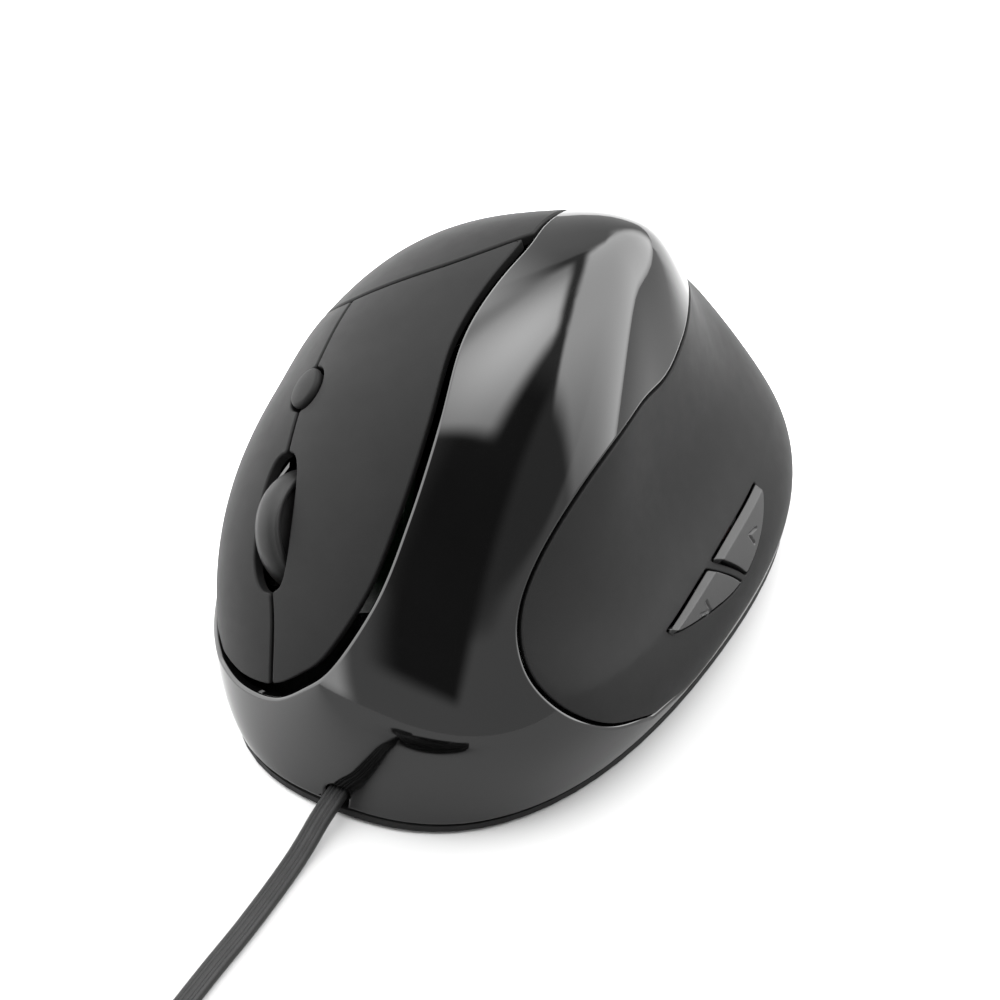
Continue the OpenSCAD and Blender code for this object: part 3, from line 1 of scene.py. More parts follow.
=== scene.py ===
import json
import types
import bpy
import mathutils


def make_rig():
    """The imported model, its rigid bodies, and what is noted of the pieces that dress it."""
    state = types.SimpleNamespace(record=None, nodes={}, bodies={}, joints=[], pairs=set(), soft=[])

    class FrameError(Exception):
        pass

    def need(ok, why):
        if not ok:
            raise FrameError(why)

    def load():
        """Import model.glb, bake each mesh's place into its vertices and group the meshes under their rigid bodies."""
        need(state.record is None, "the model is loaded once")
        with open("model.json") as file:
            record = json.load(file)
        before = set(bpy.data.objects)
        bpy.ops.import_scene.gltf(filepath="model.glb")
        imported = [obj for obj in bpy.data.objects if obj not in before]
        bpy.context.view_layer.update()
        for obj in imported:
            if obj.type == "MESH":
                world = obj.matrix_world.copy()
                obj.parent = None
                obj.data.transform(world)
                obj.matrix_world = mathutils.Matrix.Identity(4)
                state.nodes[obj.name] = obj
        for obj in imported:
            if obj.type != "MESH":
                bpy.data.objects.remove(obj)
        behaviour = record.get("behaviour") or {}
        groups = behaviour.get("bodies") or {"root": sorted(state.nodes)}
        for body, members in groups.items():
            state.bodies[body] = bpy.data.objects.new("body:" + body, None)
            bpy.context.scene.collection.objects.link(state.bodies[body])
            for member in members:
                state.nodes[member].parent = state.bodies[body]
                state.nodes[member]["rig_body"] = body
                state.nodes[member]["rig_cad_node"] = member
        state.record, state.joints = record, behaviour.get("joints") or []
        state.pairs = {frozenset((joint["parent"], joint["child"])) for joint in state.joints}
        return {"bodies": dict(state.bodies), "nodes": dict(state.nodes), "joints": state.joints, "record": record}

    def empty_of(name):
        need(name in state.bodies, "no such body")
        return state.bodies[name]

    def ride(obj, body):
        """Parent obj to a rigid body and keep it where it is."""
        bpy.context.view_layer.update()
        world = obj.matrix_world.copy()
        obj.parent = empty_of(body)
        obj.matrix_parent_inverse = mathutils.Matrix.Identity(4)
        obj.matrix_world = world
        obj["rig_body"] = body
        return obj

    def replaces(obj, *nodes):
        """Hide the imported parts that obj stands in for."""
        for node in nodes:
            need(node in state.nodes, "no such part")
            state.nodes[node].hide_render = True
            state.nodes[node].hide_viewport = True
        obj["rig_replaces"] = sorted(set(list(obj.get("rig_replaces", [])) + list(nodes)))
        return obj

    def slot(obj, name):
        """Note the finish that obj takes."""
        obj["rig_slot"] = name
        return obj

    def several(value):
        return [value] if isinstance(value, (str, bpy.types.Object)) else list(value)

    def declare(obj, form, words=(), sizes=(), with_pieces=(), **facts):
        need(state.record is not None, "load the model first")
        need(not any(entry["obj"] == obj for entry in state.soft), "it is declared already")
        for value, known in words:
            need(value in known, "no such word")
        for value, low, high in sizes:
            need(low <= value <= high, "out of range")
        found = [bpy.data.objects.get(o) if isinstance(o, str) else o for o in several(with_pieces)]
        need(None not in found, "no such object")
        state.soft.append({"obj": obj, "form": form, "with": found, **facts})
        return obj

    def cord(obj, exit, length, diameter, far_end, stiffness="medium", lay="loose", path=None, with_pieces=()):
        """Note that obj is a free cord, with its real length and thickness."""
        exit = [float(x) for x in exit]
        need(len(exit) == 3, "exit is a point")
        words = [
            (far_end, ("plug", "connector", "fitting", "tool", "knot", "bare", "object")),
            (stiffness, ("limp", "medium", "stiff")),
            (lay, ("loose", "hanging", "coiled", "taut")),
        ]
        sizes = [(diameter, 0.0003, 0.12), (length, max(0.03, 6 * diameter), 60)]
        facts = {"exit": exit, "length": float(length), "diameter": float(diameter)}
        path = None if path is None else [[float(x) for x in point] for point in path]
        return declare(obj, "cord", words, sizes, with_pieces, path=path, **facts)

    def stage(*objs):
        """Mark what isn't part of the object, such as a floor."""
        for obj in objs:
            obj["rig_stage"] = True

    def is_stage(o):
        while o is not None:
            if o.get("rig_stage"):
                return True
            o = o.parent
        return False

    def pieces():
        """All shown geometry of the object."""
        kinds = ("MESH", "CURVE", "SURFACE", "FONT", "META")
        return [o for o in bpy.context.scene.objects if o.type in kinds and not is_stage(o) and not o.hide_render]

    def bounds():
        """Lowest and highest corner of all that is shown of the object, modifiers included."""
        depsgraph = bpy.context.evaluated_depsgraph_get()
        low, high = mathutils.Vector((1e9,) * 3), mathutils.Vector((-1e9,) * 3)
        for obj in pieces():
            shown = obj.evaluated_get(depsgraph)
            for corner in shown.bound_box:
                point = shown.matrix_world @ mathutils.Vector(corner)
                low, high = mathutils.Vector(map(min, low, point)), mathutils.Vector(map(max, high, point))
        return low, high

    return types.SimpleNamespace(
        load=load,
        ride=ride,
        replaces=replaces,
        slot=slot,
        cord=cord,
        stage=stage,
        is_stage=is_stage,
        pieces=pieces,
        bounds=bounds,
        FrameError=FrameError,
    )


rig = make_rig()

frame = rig.load()

import json
import math

import bpy
import numpy as np
from mathutils import Matrix, Vector
from mathutils.geometry import delaunay_2d_cdt

# A right-handed vertical mouse. Shapes are worked out in millimetres and stored in metres.
MM = 0.001
cad_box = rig.bounds()


# Camera

CAMERA_AT = (-215.42, 433.27, 458.78)
CAMERA_ROWS = ((-.89588, -.44429, 0), (.29777, -.60044, .74217), (-.32974, .66489, .67022))
CAMERA_LENS = 137.46


def make_camera():
    """Camera at the photograph's angle."""
    data = bpy.data.cameras.new("photo_camera")
    data.lens = CAMERA_LENS
    data.sensor_width = 36
    data.clip_start = .01
    data.clip_end = 30
    camera = bpy.data.objects.new("photo_camera", data)
    turn = Matrix([Vector(row) for row in CAMERA_ROWS]).transposed().to_4x4()
    camera.matrix_world = Matrix.Translation(Vector(CAMERA_AT) * MM) @ turn
    bpy.context.scene.collection.objects.link(camera)
    bpy.context.scene.camera = camera


# Small helpers

def unit(v):
    return v / np.linalg.norm(v, axis=-1, keepdims=True)


def dot(a, b):
    return np.sum(a * b, axis=-1)


def mix(a, b, share):
    return a + (b - a) * share


def ease(x):
    s = np.clip(x, 0, 1)
    return s * s * (3 - 2 * s)


def smooth_line(points, parts):
    """Points of a smooth line through the given ones, with equal parts between neighbours."""
    place = np.linspace(0, len(points) - 1, (len(points) - 1) * parts + 1)
    return line_at(points, place)


def line_at(points, place):
    """Points of a smooth line through listed points, place counted in points."""
    points = np.asarray(points, float)
    last = len(points) - 1
    x = np.clip(np.asarray(place, float), 0, last - 1e-6)
    i = np.floor(x).astype(int)
    f = (x - i)[..., None]
    b, c = points[i], points[i + 1]
    a = np.where((i > 0)[..., None], points[np.maximum(i - 1, 0)], 2 * b - c)
    d = np.where((i < last - 1)[..., None], points[np.minimum(i + 2, last)], 2 * c - b)
    return .5 * (2 * b + (c - a) * f + (2 * a - 5 * b + 4 * c - d) * f ** 2
                 + (3 * b - a - 3 * c + d) * f ** 3)


# Materials

class Look:
    """A material under construction: its node tree with short ways to add nodes."""

    def __init__(self, name):
        self.material = bpy.data.materials.new(name)
        self.material.use_nodes = True
        self.nodes = self.material.node_tree.nodes
        self.links = self.material.node_tree.links
        self.shader = self.nodes["Principled BSDF"]
        self.place = self.nodes.new("ShaderNodeTexCoord").outputs["Object"]

    def set(self, **values):
        for name, value in values.items():
            self.shader.inputs[name.replace("_", " ")].default_value = value

    def noise(self, size_mm, detail=3, rough=.5, stretch=None):
        """Noise with features of the given size."""
        node = self.nodes.new("ShaderNodeTexNoise")
        node.inputs["Scale"].default_value = 1 / (size_mm * MM)
        node.inputs["Detail"].default_value = detail
        node.inputs["Roughness"].default_value = rough
        source = self.place
        if stretch:
            mapping = self.nodes.new("ShaderNodeMapping")
            mapping.inputs["Scale"].default_value = stretch
            self.links.new(source, mapping.inputs["Vector"])
            source = mapping.outputs["Vector"]
        self.links.new(source, node.inputs["Vector"])
        return node.outputs["Fac"]

    def ramp(self, value, stops):
        """Colours or greys for a value from 0 to 1."""
        node = self.nodes.new("ShaderNodeValToRGB")
        band = node.color_ramp
        for k, (at, colour) in enumerate(stops):
            stop = band.elements[k] if k < 2 else band.elements.new(at)
            stop.position = at
            stop.color = (*colour, 1) if hasattr(colour, "__len__") else (colour, colour, colour, 1)
        self.links.new(value, node.inputs["Fac"])
        return node.outputs["Color"]

    def spread(self, value, low, high):
        """The value's middle range stretched to low..high."""
        node = self.nodes.new("ShaderNodeMapRange")
        node.inputs["From Min"].default_value = .3
        node.inputs["From Max"].default_value = .7
        node.inputs["To Min"].default_value = low
        node.inputs["To Max"].default_value = high
        self.links.new(value, node.inputs["Value"])
        return node.outputs["Result"]

    def colour(self, socket):
        self.links.new(socket, self.shader.inputs["Base Color"])

    def rough(self, socket):
        self.links.new(socket, self.shader.inputs["Roughness"])

    def bump(self, heights):
        """Relief from (height socket, depth in millimetres) pairs."""
        before = None
        for socket, depth in heights:
            node = self.nodes.new("ShaderNodeBump")
            node.inputs["Strength"].default_value = 1
            node.inputs["Distance"].default_value = depth * MM
            self.links.new(socket, node.inputs["Height"])
            if before:
                self.links.new(before, node.inputs["Normal"])
            before = node.outputs["Normal"]
        self.links.new(before, self.shader.inputs["Normal"])


def moulded(name, dark, light, rough, grain_mm, grain_depth, specular=.5, **more):
    """Moulded plastic or rubber: faint clouds of colour, uneven gloss and a fine grain."""
    look = Look(name)
    look.set(Specular_IOR_Level=specular, **more)
    clouds = look.noise(9, detail=4)
    look.colour(look.ramp(clouds, [(.3, dark), (.7, light)]))
    look.rough(look.spread(look.noise(3, detail=5), rough[0], rough[1]))
    look.bump([(look.noise(grain_mm, detail=2), grain_depth)])
    return look.material


def gloss_look():
    """High gloss black cover: almost a mirror, with faint flow waves and rare fine marks."""
    look = Look("gloss_cover")
    look.set(Specular_IOR_Level=.5)
    look.colour(look.ramp(look.noise(14, detail=3), [(.3, .0008), (.7, .0012)]))
    look.rough(look.spread(look.noise(5, detail=6), .04, .055))
    look.bump([(look.noise(16, detail=1), .003)])
    return look.material


def metal(name, dark, light, rough, stretch):
    """Drawn or plated metal with fine lines."""
    look = Look(name)
    look.set(Metallic=1)
    lines = look.noise(.6, detail=4, stretch=stretch)
    look.colour(look.ramp(lines, [(.3, dark), (.7, light)]))
    look.rough(look.spread(lines, rough[0], rough[1]))
    look.bump([(lines, .004)])
    return look.material


def board_look():
    """Green solder mask with faint copper lines under it."""
    look = Look("board")
    bricks = look.nodes.new("ShaderNodeTexBrick")
    bricks.inputs["Scale"].default_value = 320
    bricks.inputs["Mortar Size"].default_value = .03
    bricks.inputs["Color1"].default_value = (.0015, .008, .0035, 1)
    bricks.inputs["Color2"].default_value = (.002, .01, .004, 1)
    bricks.inputs["Mortar"].default_value = (.004, .018, .007, 1)
    look.links.new(look.place, bricks.inputs["Vector"])
    look.colour(bricks.outputs["Color"])
    look.rough(look.spread(look.noise(2), .3, .42))
    look.bump([(bricks.outputs["Fac"], .03)])
    return look.material


def lens_look():
    """Clear moulded plastic."""
    look = Look("lens")
    look.set(Transmission_Weight=.85, IOR=1.49)
    look.colour(look.ramp(look.noise(4), [(.3, (.8, .84, .86)), (.7, (.9, .92, .94))]))
    look.rough(look.spread(look.noise(2), .04, .1))
    return look.material


def strap_look():
    """Woven strap of hook tape: crossing threads and a soft nap."""
    look = Look("strap")
    look.set(Sheen_Weight=.3, Sheen_Roughness=.5)
    waves = []
    for direction in ("X", "Y"):
        wave = look.nodes.new("ShaderNodeTexWave")
        wave.bands_direction = direction
        wave.inputs["Scale"].default_value = 700
        wave.inputs["Distortion"].default_value = .6
        look.links.new(look.place, wave.inputs["Vector"])
        waves.append(wave.outputs["Fac"])
    look.colour(look.ramp(waves[0], [(.2, .008), (.8, .022)]))
    look.rough(look.spread(look.noise(.8), .8, .95))
    look.bump([(waves[0], .08), (waves[1], .08)])
    return look.material


def ribbon_look():
    """Flat film cable with fine conductor lines."""
    look = Look("ribbon")
    wave = look.nodes.new("ShaderNodeTexWave")
    wave.bands_direction = "Y"
    wave.inputs["Scale"].default_value = 300
    look.links.new(look.place, wave.inputs["Vector"])
    look.colour(look.ramp(wave.outputs["Fac"], [(.35, (.5, .38, .16)), (.65, (.34, .2, .07))]))
    look.rough(look.spread(look.noise(2), .3, .45))
    return look.material


def make_looks():
    return {
        "gloss_cover": gloss_look(),
        "matte_panel": moulded("matte_panel", .0075, .0085, (.54, .58), .2, .012, specular=.09),
        # The side keys' base colour, lighter than the matte panel's, is painted sheen: the light the keys catch from
        # the bright floor.
        "side_key": moulded("side_key", .009, .0105, (.44, .48), .18, .01, specular=.35),
        "base_plastic": moulded("base_plastic", .003, .004, (.55, .62), .3, .03, specular=.2),
        "inner_plastic": moulded("inner_plastic", .003, .004, (.6, .7), .4, .02, specular=.15),
        "switch_plastic": moulded("switch_plastic", .003, .004, (.5, .6), .3, .01, specular=.2),
        "plunger_plastic": moulded("plunger_plastic", (.03, .002, .0015), (.04, .003, .002), (.45, .55),
                                   .3, .01),
        "wheel_rubber": moulded("wheel_rubber", .004, .005, (.5, .58), .2, .015, specular=.25),
        "steel": metal("steel", .42, .6, (.22, .34), (1, 12, 12)),
        "board": board_look(),
        "lens": lens_look(),
        "ribbon": ribbon_look(),
        "glide": moulded("glide", .5, .62, (.35, .5), .4, .01),
        "cord_jacket": moulded("cord_jacket", .003, .0042, (.45, .52), .3, .01, specular=.24),
        "strap": strap_look(),
        "plug_metal": metal("plug_metal", .62, .74, (.14, .24), (14, 1, 14)),
        "tongue_plastic": moulded("tongue_plastic", .55, .65, (.35, .5), .3, .01),
        "contact_metal": metal("contact_metal", (.7, .5, .16), (.82, .62, .26), (.16, .28), (1, 10, 1)),
    }


def dress_nodes(looks):
    """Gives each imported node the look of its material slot."""
    for part in frame["record"]["subparts"]:
        data = frame["nodes"][part["node"]].data
        data.materials.clear()
        data.materials.append(looks[part["material_slot"]])


# Meshes

def add_piece(name, verts, faces, look, body, slot, replaces, normals=None):
    """A smooth mesh piece from points in millimetres, riding on a body.

    normals, where given, holds one normal for each face corner.
    """
    mesh = bpy.data.meshes.new(name)
    mesh.from_pydata((np.asarray(verts) * MM).tolist(), [], [list(map(int, f)) for f in faces])
    mesh.shade_smooth()
    if normals is not None:
        mesh.normals_split_custom_set([tuple(n) for n in normals])
    mesh.materials.append(look)
    piece = bpy.data.objects.new(name, mesh)
    bpy.context.scene.collection.objects.link(piece)
    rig.ride(piece, body)
    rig.replaces(piece, *replaces)
    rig.slot(piece, slot)
    return piece


def sharpen(piece, degrees):
    """Keeps edges steeper than an angle crisp."""
    piece.data.set_sharp_from_angle(angle=math.radians(degrees))


def tube(rings, closed=False):
    """Points and faces of a tube through rings of equal count, capped unless it closes on itself."""
    count = len(rings)
    around = len(rings[0])
    verts = np.concatenate(rings)
    faces = []
    for j in range(count if closed else count - 1):
        for i in range(around):
            k = (i + 1) % around
            far = (j + 1) % count * around
            faces.append((j * around + i, j * around + k, far + k, far + i))
    if not closed:
        faces.append(tuple(range(around))[::-1])
        faces.append(tuple((count - 1) * around + i for i in range(around)))
    return verts, faces


# Cord, plug and strap

CORD_X = .3
CORD_WIDE = 3.6
CORD_THICK = 2.0
REST_Z = 1.05
CORD_Z = 4.1
COIL_LOW = 2.85
COIL_HIGH = 6.95
GRIP_Z = 4.1
COIL_MID = (-25, 142)
COIL_DEEP = 13.25
COIL_PITCH = 2.5
LAYER_TURNS = 5.5
CLIMB_TURNS = .5
TURN_RINGS = 24
TWIST_FROM = 110
TWIST_TO = 135
CORD_LENGTH = 1.51


def cord_route():
    """The cord's route from the housing to its plug, and the way its wide side faces."""
    drop = [(CORD_X, 52.2, 1), (CORD_X, 56, 1), (CORD_X, 60, 1), (.55, 64, .7), (.62, 68, .36),
            (.7, 72, .1), (.75, 77, 0), (.8, 83, 0), (1, 90, 0), (1.4, 97, 0), (1.7, 104, 0), (1.9, 110, 0)]
    climb = [(2, 116, 0), (2, 120, .1), (2, 124, .35), (2, 128, .7), (2, 132, .95), (2, 135, 1),
             (2, 138, 1)]
    points = [(x, y, mix(REST_Z, CORD_Z, h)) for x, y, h in drop]
    points += [(x, y, mix(REST_Z, COIL_LOW, h)) for x, y, h in climb]
    for k in range(int(2 * LAYER_TURNS * TURN_RINGS) + 1):
        turn = k / TURN_RINGS
        reach = COIL_DEEP + COIL_PITCH * abs(turn - LAYER_TURNS)
        level = mix(COIL_LOW, COIL_HIGH, ease((turn - LAYER_TURNS) / CLIMB_TURNS + .5))
        angle = 2 * math.pi * turn
        points.append((COIL_MID[0] + reach * math.cos(angle), COIL_MID[1] + reach * math.sin(angle), level))
    tail = [(2, 149, COIL_HIGH - .2), (2.2, 156, mix(COIL_HIGH, GRIP_Z, .35)),
            (2.6, 163, mix(COIL_HIGH, GRIP_Z, .75)), (3, 170, GRIP_Z), (3, 174, GRIP_Z)]
    points += tail
    points = np.array(points, float)
    turn = math.pi / 2 * ease((points[:, 1] - TWIST_FROM) / (TWIST_TO - TWIST_FROM))
    turn[len(drop) + len(climb):] = math.pi / 2
    wide = np.stack([np.cos(turn), 0 * turn, np.sin(turn)], -1)
    return points, wide


def cord_section():
    """Outline of the flat cord: rounded edges and fine ribs along both faces."""
    half_wide = CORD_WIDE / 2
    half_thick = CORD_THICK / 2
    rib_pitch = .52
    rib_depth = .17
    flat = half_wide - half_thick * .6
    face_x = np.linspace(flat, -flat, 41)
    beyond = np.maximum(0, np.abs(face_x) - (flat - 2 * rib_pitch))
    face_y = half_thick - rib_depth * (.5 - .5 * np.cos(2 * math.pi * beyond / rib_pitch))
    angles = np.linspace(math.pi / 2, -math.pi / 2, 11)[1:-1]
    end = np.stack([flat + half_thick * .6 * np.cos(angles), half_thick * np.sin(angles)], -1)
    top = np.stack([face_x, face_y], -1)
    return np.concatenate([top, -end[:, :] * (1, -1), -top, end[::-1]])


def swept(path, wide, section):
    """Rings of a section carried along a path, its first axis turned to the wide way."""
    run = unit(np.gradient(path, axis=0))
    across = unit(wide - dot(wide, run)[:, None] * run)
    over = np.cross(run, across)
    return [p + section[:, :1] * a + section[:, 1:] * o for p, a, o in zip(path, across, over)]


def make_cord(looks):
    """The flat cord as one piece, from the housing through its coil to the plug."""
    points, wide = cord_route()
    path = smooth_line(points, 3)
    rings = swept(path, smooth_line(wide, 3), cord_section())
    verts, faces = tube(rings)
    cord = add_piece("cord", verts, [f[::-1] for f in faces], looks["cord_jacket"], "housing",
                     "cord_jacket", ("cord_free", "cord_coil"))
    sharpen(cord, 60)
    return cord, [tuple(p * MM) for p in points]


PLUG_X = 3
PLUG_BACK = 174
GRIP_LONG = 26
GRIP_WIDE = 15.6
GRIP_THICK = 8


def rounded_ring(wide, thick, y, power, count=48):
    """Rounded rectangle across the plug at one place along it."""
    a = np.linspace(0, 2 * math.pi, count, endpoint=False)
    c, s = np.cos(a), np.sin(a)
    x = PLUG_X + wide / 2 * np.sign(c) * np.abs(c) ** (2 / power)
    z = GRIP_Z + thick / 2 * np.sign(s) * np.abs(s) ** (2 / power)
    return np.stack([x, 0 * x + y, z], -1)


def make_grip(looks):
    """Plug grip: a moulded block with finger grooves, and a short ribbed neck over the cord."""
    rows = [(0, 5.2, 3.6, 3)]
    for k in range(3):
        rows += [(.5 + k * 1.2, 5.8, 4.2, 3), (1.0 + k * 1.2, 5.8, 4.2, 3), (1.2 + k * 1.2, 5.0, 3.5, 3),
                 (1.5 + k * 1.2, 5.0, 3.5, 3)]
    rows += [(4.4, 6.4, 4.6, 3), (5.2, 9.6, 6.2, 3.4), (6.2, 13.4, 7.3, 4), (7.4, 15.2, 7.9, 4.6),
             (8.6, GRIP_WIDE, GRIP_THICK, 5)]
    for k in range(4):
        y = 11 + k * 2.6
        rows += [(y, GRIP_WIDE, GRIP_THICK, 5), (y + .35, 14.9, 7.5, 5), (y + .95, 14.9, 7.5, 5),
                 (y + 1.3, GRIP_WIDE, GRIP_THICK, 5)]
    rows += [(24.8, GRIP_WIDE, GRIP_THICK, 5), (25.5, 15.3, 7.8, 5), (25.85, 14.8, 7.4, 5),
             (GRIP_LONG, 14.1, 6.8, 5)]
    rings = [rounded_ring(w, t, PLUG_BACK + y, p) for y, w, t, p in rows]
    verts, faces = tube(rings)
    grip = add_piece("plug_body", verts, faces, looks["cord_jacket"], "housing", "cord_jacket",
                     ("plug_grip",))
    sharpen(grip, 38)
    return grip


STRAP_WIDE = 5
STRAP_THICK = .6


def make_strap(looks):
    """Hook-tape strap round one side of the coil, its end lapped over itself."""
    near, far = 11.5, 28.75
    low, high = .35, 9.5
    bend = 1.6
    corners = [(far - bend, low + bend, -90), (far - bend, high - bend, 0), (near + bend, high - bend, 90),
               (near + bend, low + bend, 180)]
    loop = []
    for x, z, start in corners:
        for a in np.radians(np.linspace(start, start + 90, 9)):
            loop.append((x + bend * math.cos(a), z + bend * math.sin(a)))
    loop = np.array(loop)
    path = np.stack([COIL_MID[0] - loop[:, 0], 0 * loop[:, 0] + COIL_MID[1], loop[:, 1]], -1)
    ahead = np.roll(path, -1, 0) - np.roll(path, 1, 0)
    run = unit(ahead)
    side = np.array((0, 1, 0))
    over = np.cross(run, side)
    half = STRAP_WIDE / 2
    thin = STRAP_THICK / 2
    edge = .15
    section = np.array([(half, thin - edge), (half - edge, thin), (edge - half, thin), (-half, thin - edge),
                        (-half, edge - thin), (edge - half, -thin), (half - edge, -thin),
                        (half, edge - thin)])
    rings = [p + section[:, :1] * side + section[:, 1:] * o for p, o in zip(path, over)]
    verts, faces = tube(rings, closed=True)
    strap = add_piece("coil_strap", verts, faces, looks["strap"], "housing", "strap", ("coil_tie",))
    sharpen(strap, 40)
    return strap


# Body form: guide curves and plan lines, in millimetres

SEAT = 1.8
DRAW_SIZE = np.array((85.28, 117.81, 67.7))
BODY_SIZE = np.array((85, 118, 67.7))
DRAW_MIDDLE = np.array((1.4, -1.36, 0))


def guide_net(points):
    return (np.array(points, float) - DRAW_MIDDLE) * BODY_SIZE / DRAW_SIZE + (0, 0, SEAT)


FRONT_NET = guide_net([(-2, 57.5, 0), (-3, 56.5, 2.2), (-9.3, 54.6, 19.9), (-11, 39, 35.2),
                       (-12.8, 16.2, 56.4), (-10.2, -9.7, 67.8), (-10, -20, 67.7)])
BACK_NET = guide_net([(-7.5, -59, 0), (-6, -61.5, 9.2), (-5, -57.5, 24.7), (-4.5, -49, 43.2),
                      (-8, -35, 56.2), (-10, -30, 67.9), (-10, -20, 67.7)])
FINGER_NET = guide_net([(35.5, -2, 0), (41, 0, 7.2), (47.5, 3, 25.7), (36.5, 0, 45.2), (22, -5, 60.7),
                        (-4, -18.5, 67.2), (-10, -20, 67.7)])
THUMB_NET = guide_net([(-40, -4.5, 0), (-42.5, -7, 7.2), (-38.5, -5, 14.2), (-32, -3.5, 24.7),
                       (-25.5, -8.5, 45.2), (-16, -21.5, 68.2), (-10, -20, 67.7)])
KNOTS = np.array((0, 0, 0, 0, .25, .5, .75, 1, 1, 1, 1))
FULL_FRONT_FINGER = .1
FULL_FRONT_THUMB = .055
FULL_BACK_THUMB = .05
FULL_BACK_FINGER = .09


def guide(net, t):
    """Points of a guide curve, t from 0 at the base to 1 at the top."""
    i = np.clip(np.floor(t * 4).astype(int), 0, 3)
    d = [net[i + j] for j in range(4)]
    for r in (1, 2, 3):
        for j in range(3, r - 1, -1):
            low = KNOTS[i + j]
            share = ((t - low) / (KNOTS[i + j + 4 - r] - low))[..., None]
            d[j] = mix(d[j - 1], d[j], share)
    return d[3]


def skin(p):
    """Points of the skin for plan points in the unit disk: centre is the top, edge is the base."""
    far = np.hypot(p[..., 0], p[..., 1])
    safe = np.where(far > 1e-9, far, 1)
    c = np.where(far > 1e-9, p[..., 0] / safe, 1)
    s = np.where(far > 1e-9, p[..., 1] / safe, 0)
    f, b, r, l = (guide(net, 1 - far) for net in (FRONT_NET, BACK_NET, FINGER_NET, THUMB_NET))
    full = 4 * (c * s) ** 2 * np.where(s > 0, np.where(c > 0, FULL_FRONT_FINGER, FULL_FRONT_THUMB),
                                       np.where(c > 0, FULL_BACK_FINGER, FULL_BACK_THUMB))
    c, s, full = c[..., None], s[..., None], full[..., None]
    q = c * (1 + c) / 2 * r + c * (c - 1) / 2 * l + s * (1 + s) / 2 * f + s * (s - 1) / 2 * b
    return q + full * (q - (f + b + r + l) / 4) * (1, 1, 0)


PROBE = .002


def spread(surface, p):
    """Points, outward normals and both plan slopes of a surface."""
    a = (surface(p + (PROBE, 0)) - surface(p - (PROBE, 0))) / (2 * PROBE)
    b = (surface(p + (0, PROBE)) - surface(p - (0, PROBE))) / (2 * PROBE)
    return surface(p), unit(np.cross(a, b)), a, b


def normal(p):
    return spread(skin, p)[1]


def lifted(p, height):
    """Points above the skin by a height, or below it by a negative one."""
    return skin(p) + np.asarray(height)[..., None] * normal(p)


FINGER_EDGE = [(.6, .612), (.488, .68), (.372, .716), (.29, .701), (.226, .659), (.169, .544), (.147, .412),
               (.137, .276), (.138, .163), (.128, .071), (.12, -.035), (.105, -.14), (.11, -.28),
               (.135, -.42), (.19, -.57), (.29, -.7), (.42, -.745), (.55, -.665)]
THUMB_EDGE = [(-.825, .396), (-.644, .485), (-.458, .526), (-.3, .535), (-.205, .51), (-.15, .455),
              (-.137, .37), (-.16, .25), (-.215, .1), (-.248, -.02), (-.225, -.11), (-.165, -.2),
              (-.125, -.31), (-.135, -.43), (-.18, -.55), (-.32, -.66), (-.5, -.7), (-.66, -.66)]
FINGER_RIM = [(.6, .612), (.72, .475), (.8, .31), (.845, .14), (.858, -.03), (.845, -.19), (.795, -.36),
              (.7, -.53), (.55, -.665)]
THUMB_RIM = [(-.825, .396), (-.94, .22), (-.965, 0), (-.93, -.26), (-.82, -.49), (-.66, -.66)]
SEAM_PLACE = 1.86
PALM_RIM_PLACE = 5.6
SEAM = [(.391, -.018), (.405, .078), (.411, .173), (.411, .274), (.413, .37), (.41, .472), (.391, .579),
        tuple(line_at(FINGER_EDGE, SEAM_PLACE))]
PALM_LINE = [FINGER_EDGE[10], (.235, .002), SEAM[0], (.53, -.1), (.68, -.2),
             tuple(line_at(FINGER_RIM, PALM_RIM_PLACE))]
CREASE_BACK = 15.8
CREASE = [THUMB_EDGE[3], (-.405, .497), (-.52, .39), (-.632, .228), (-.675, .03), (-.668, -.17),
          (-.632, -.315), (-.565, -.462), (-.51, -.585), tuple(line_at(THUMB_EDGE, CREASE_BACK))]
CREASE_LAST = len(CREASE) - 1
LOW_SIDES = ((THUMB_EDGE, 0, 3), (THUMB_EDGE, 17, CREASE_BACK), (THUMB_RIM, 0, 5), (CREASE, 0, CREASE_LAST))
HIGH_SIDES = ((THUMB_EDGE, 3, 4), (THUMB_EDGE, CREASE_BACK, 14), (CREASE, 0, CREASE_LAST),
              (THUMB_EDGE, 4, 14))


def side_at(side, share):
    points, first, last = side
    return line_at(points, mix(first, last, share))


def patch(sides, u, v):
    """Plan points of a four-sided patch between two side lines and two end lines."""
    a, b, c, d = sides
    zero, one = 0 * u, 0 * u + 1
    across, along = u[..., None], v[..., None]
    sideways = mix(side_at(a, v), side_at(b, v), across)
    endways = mix(side_at(c, u), side_at(d, u), along)
    low = mix(side_at(a, zero), side_at(b, zero), across)
    high = mix(side_at(a, one), side_at(b, one), across)
    return sideways + endways - mix(low, high, along)


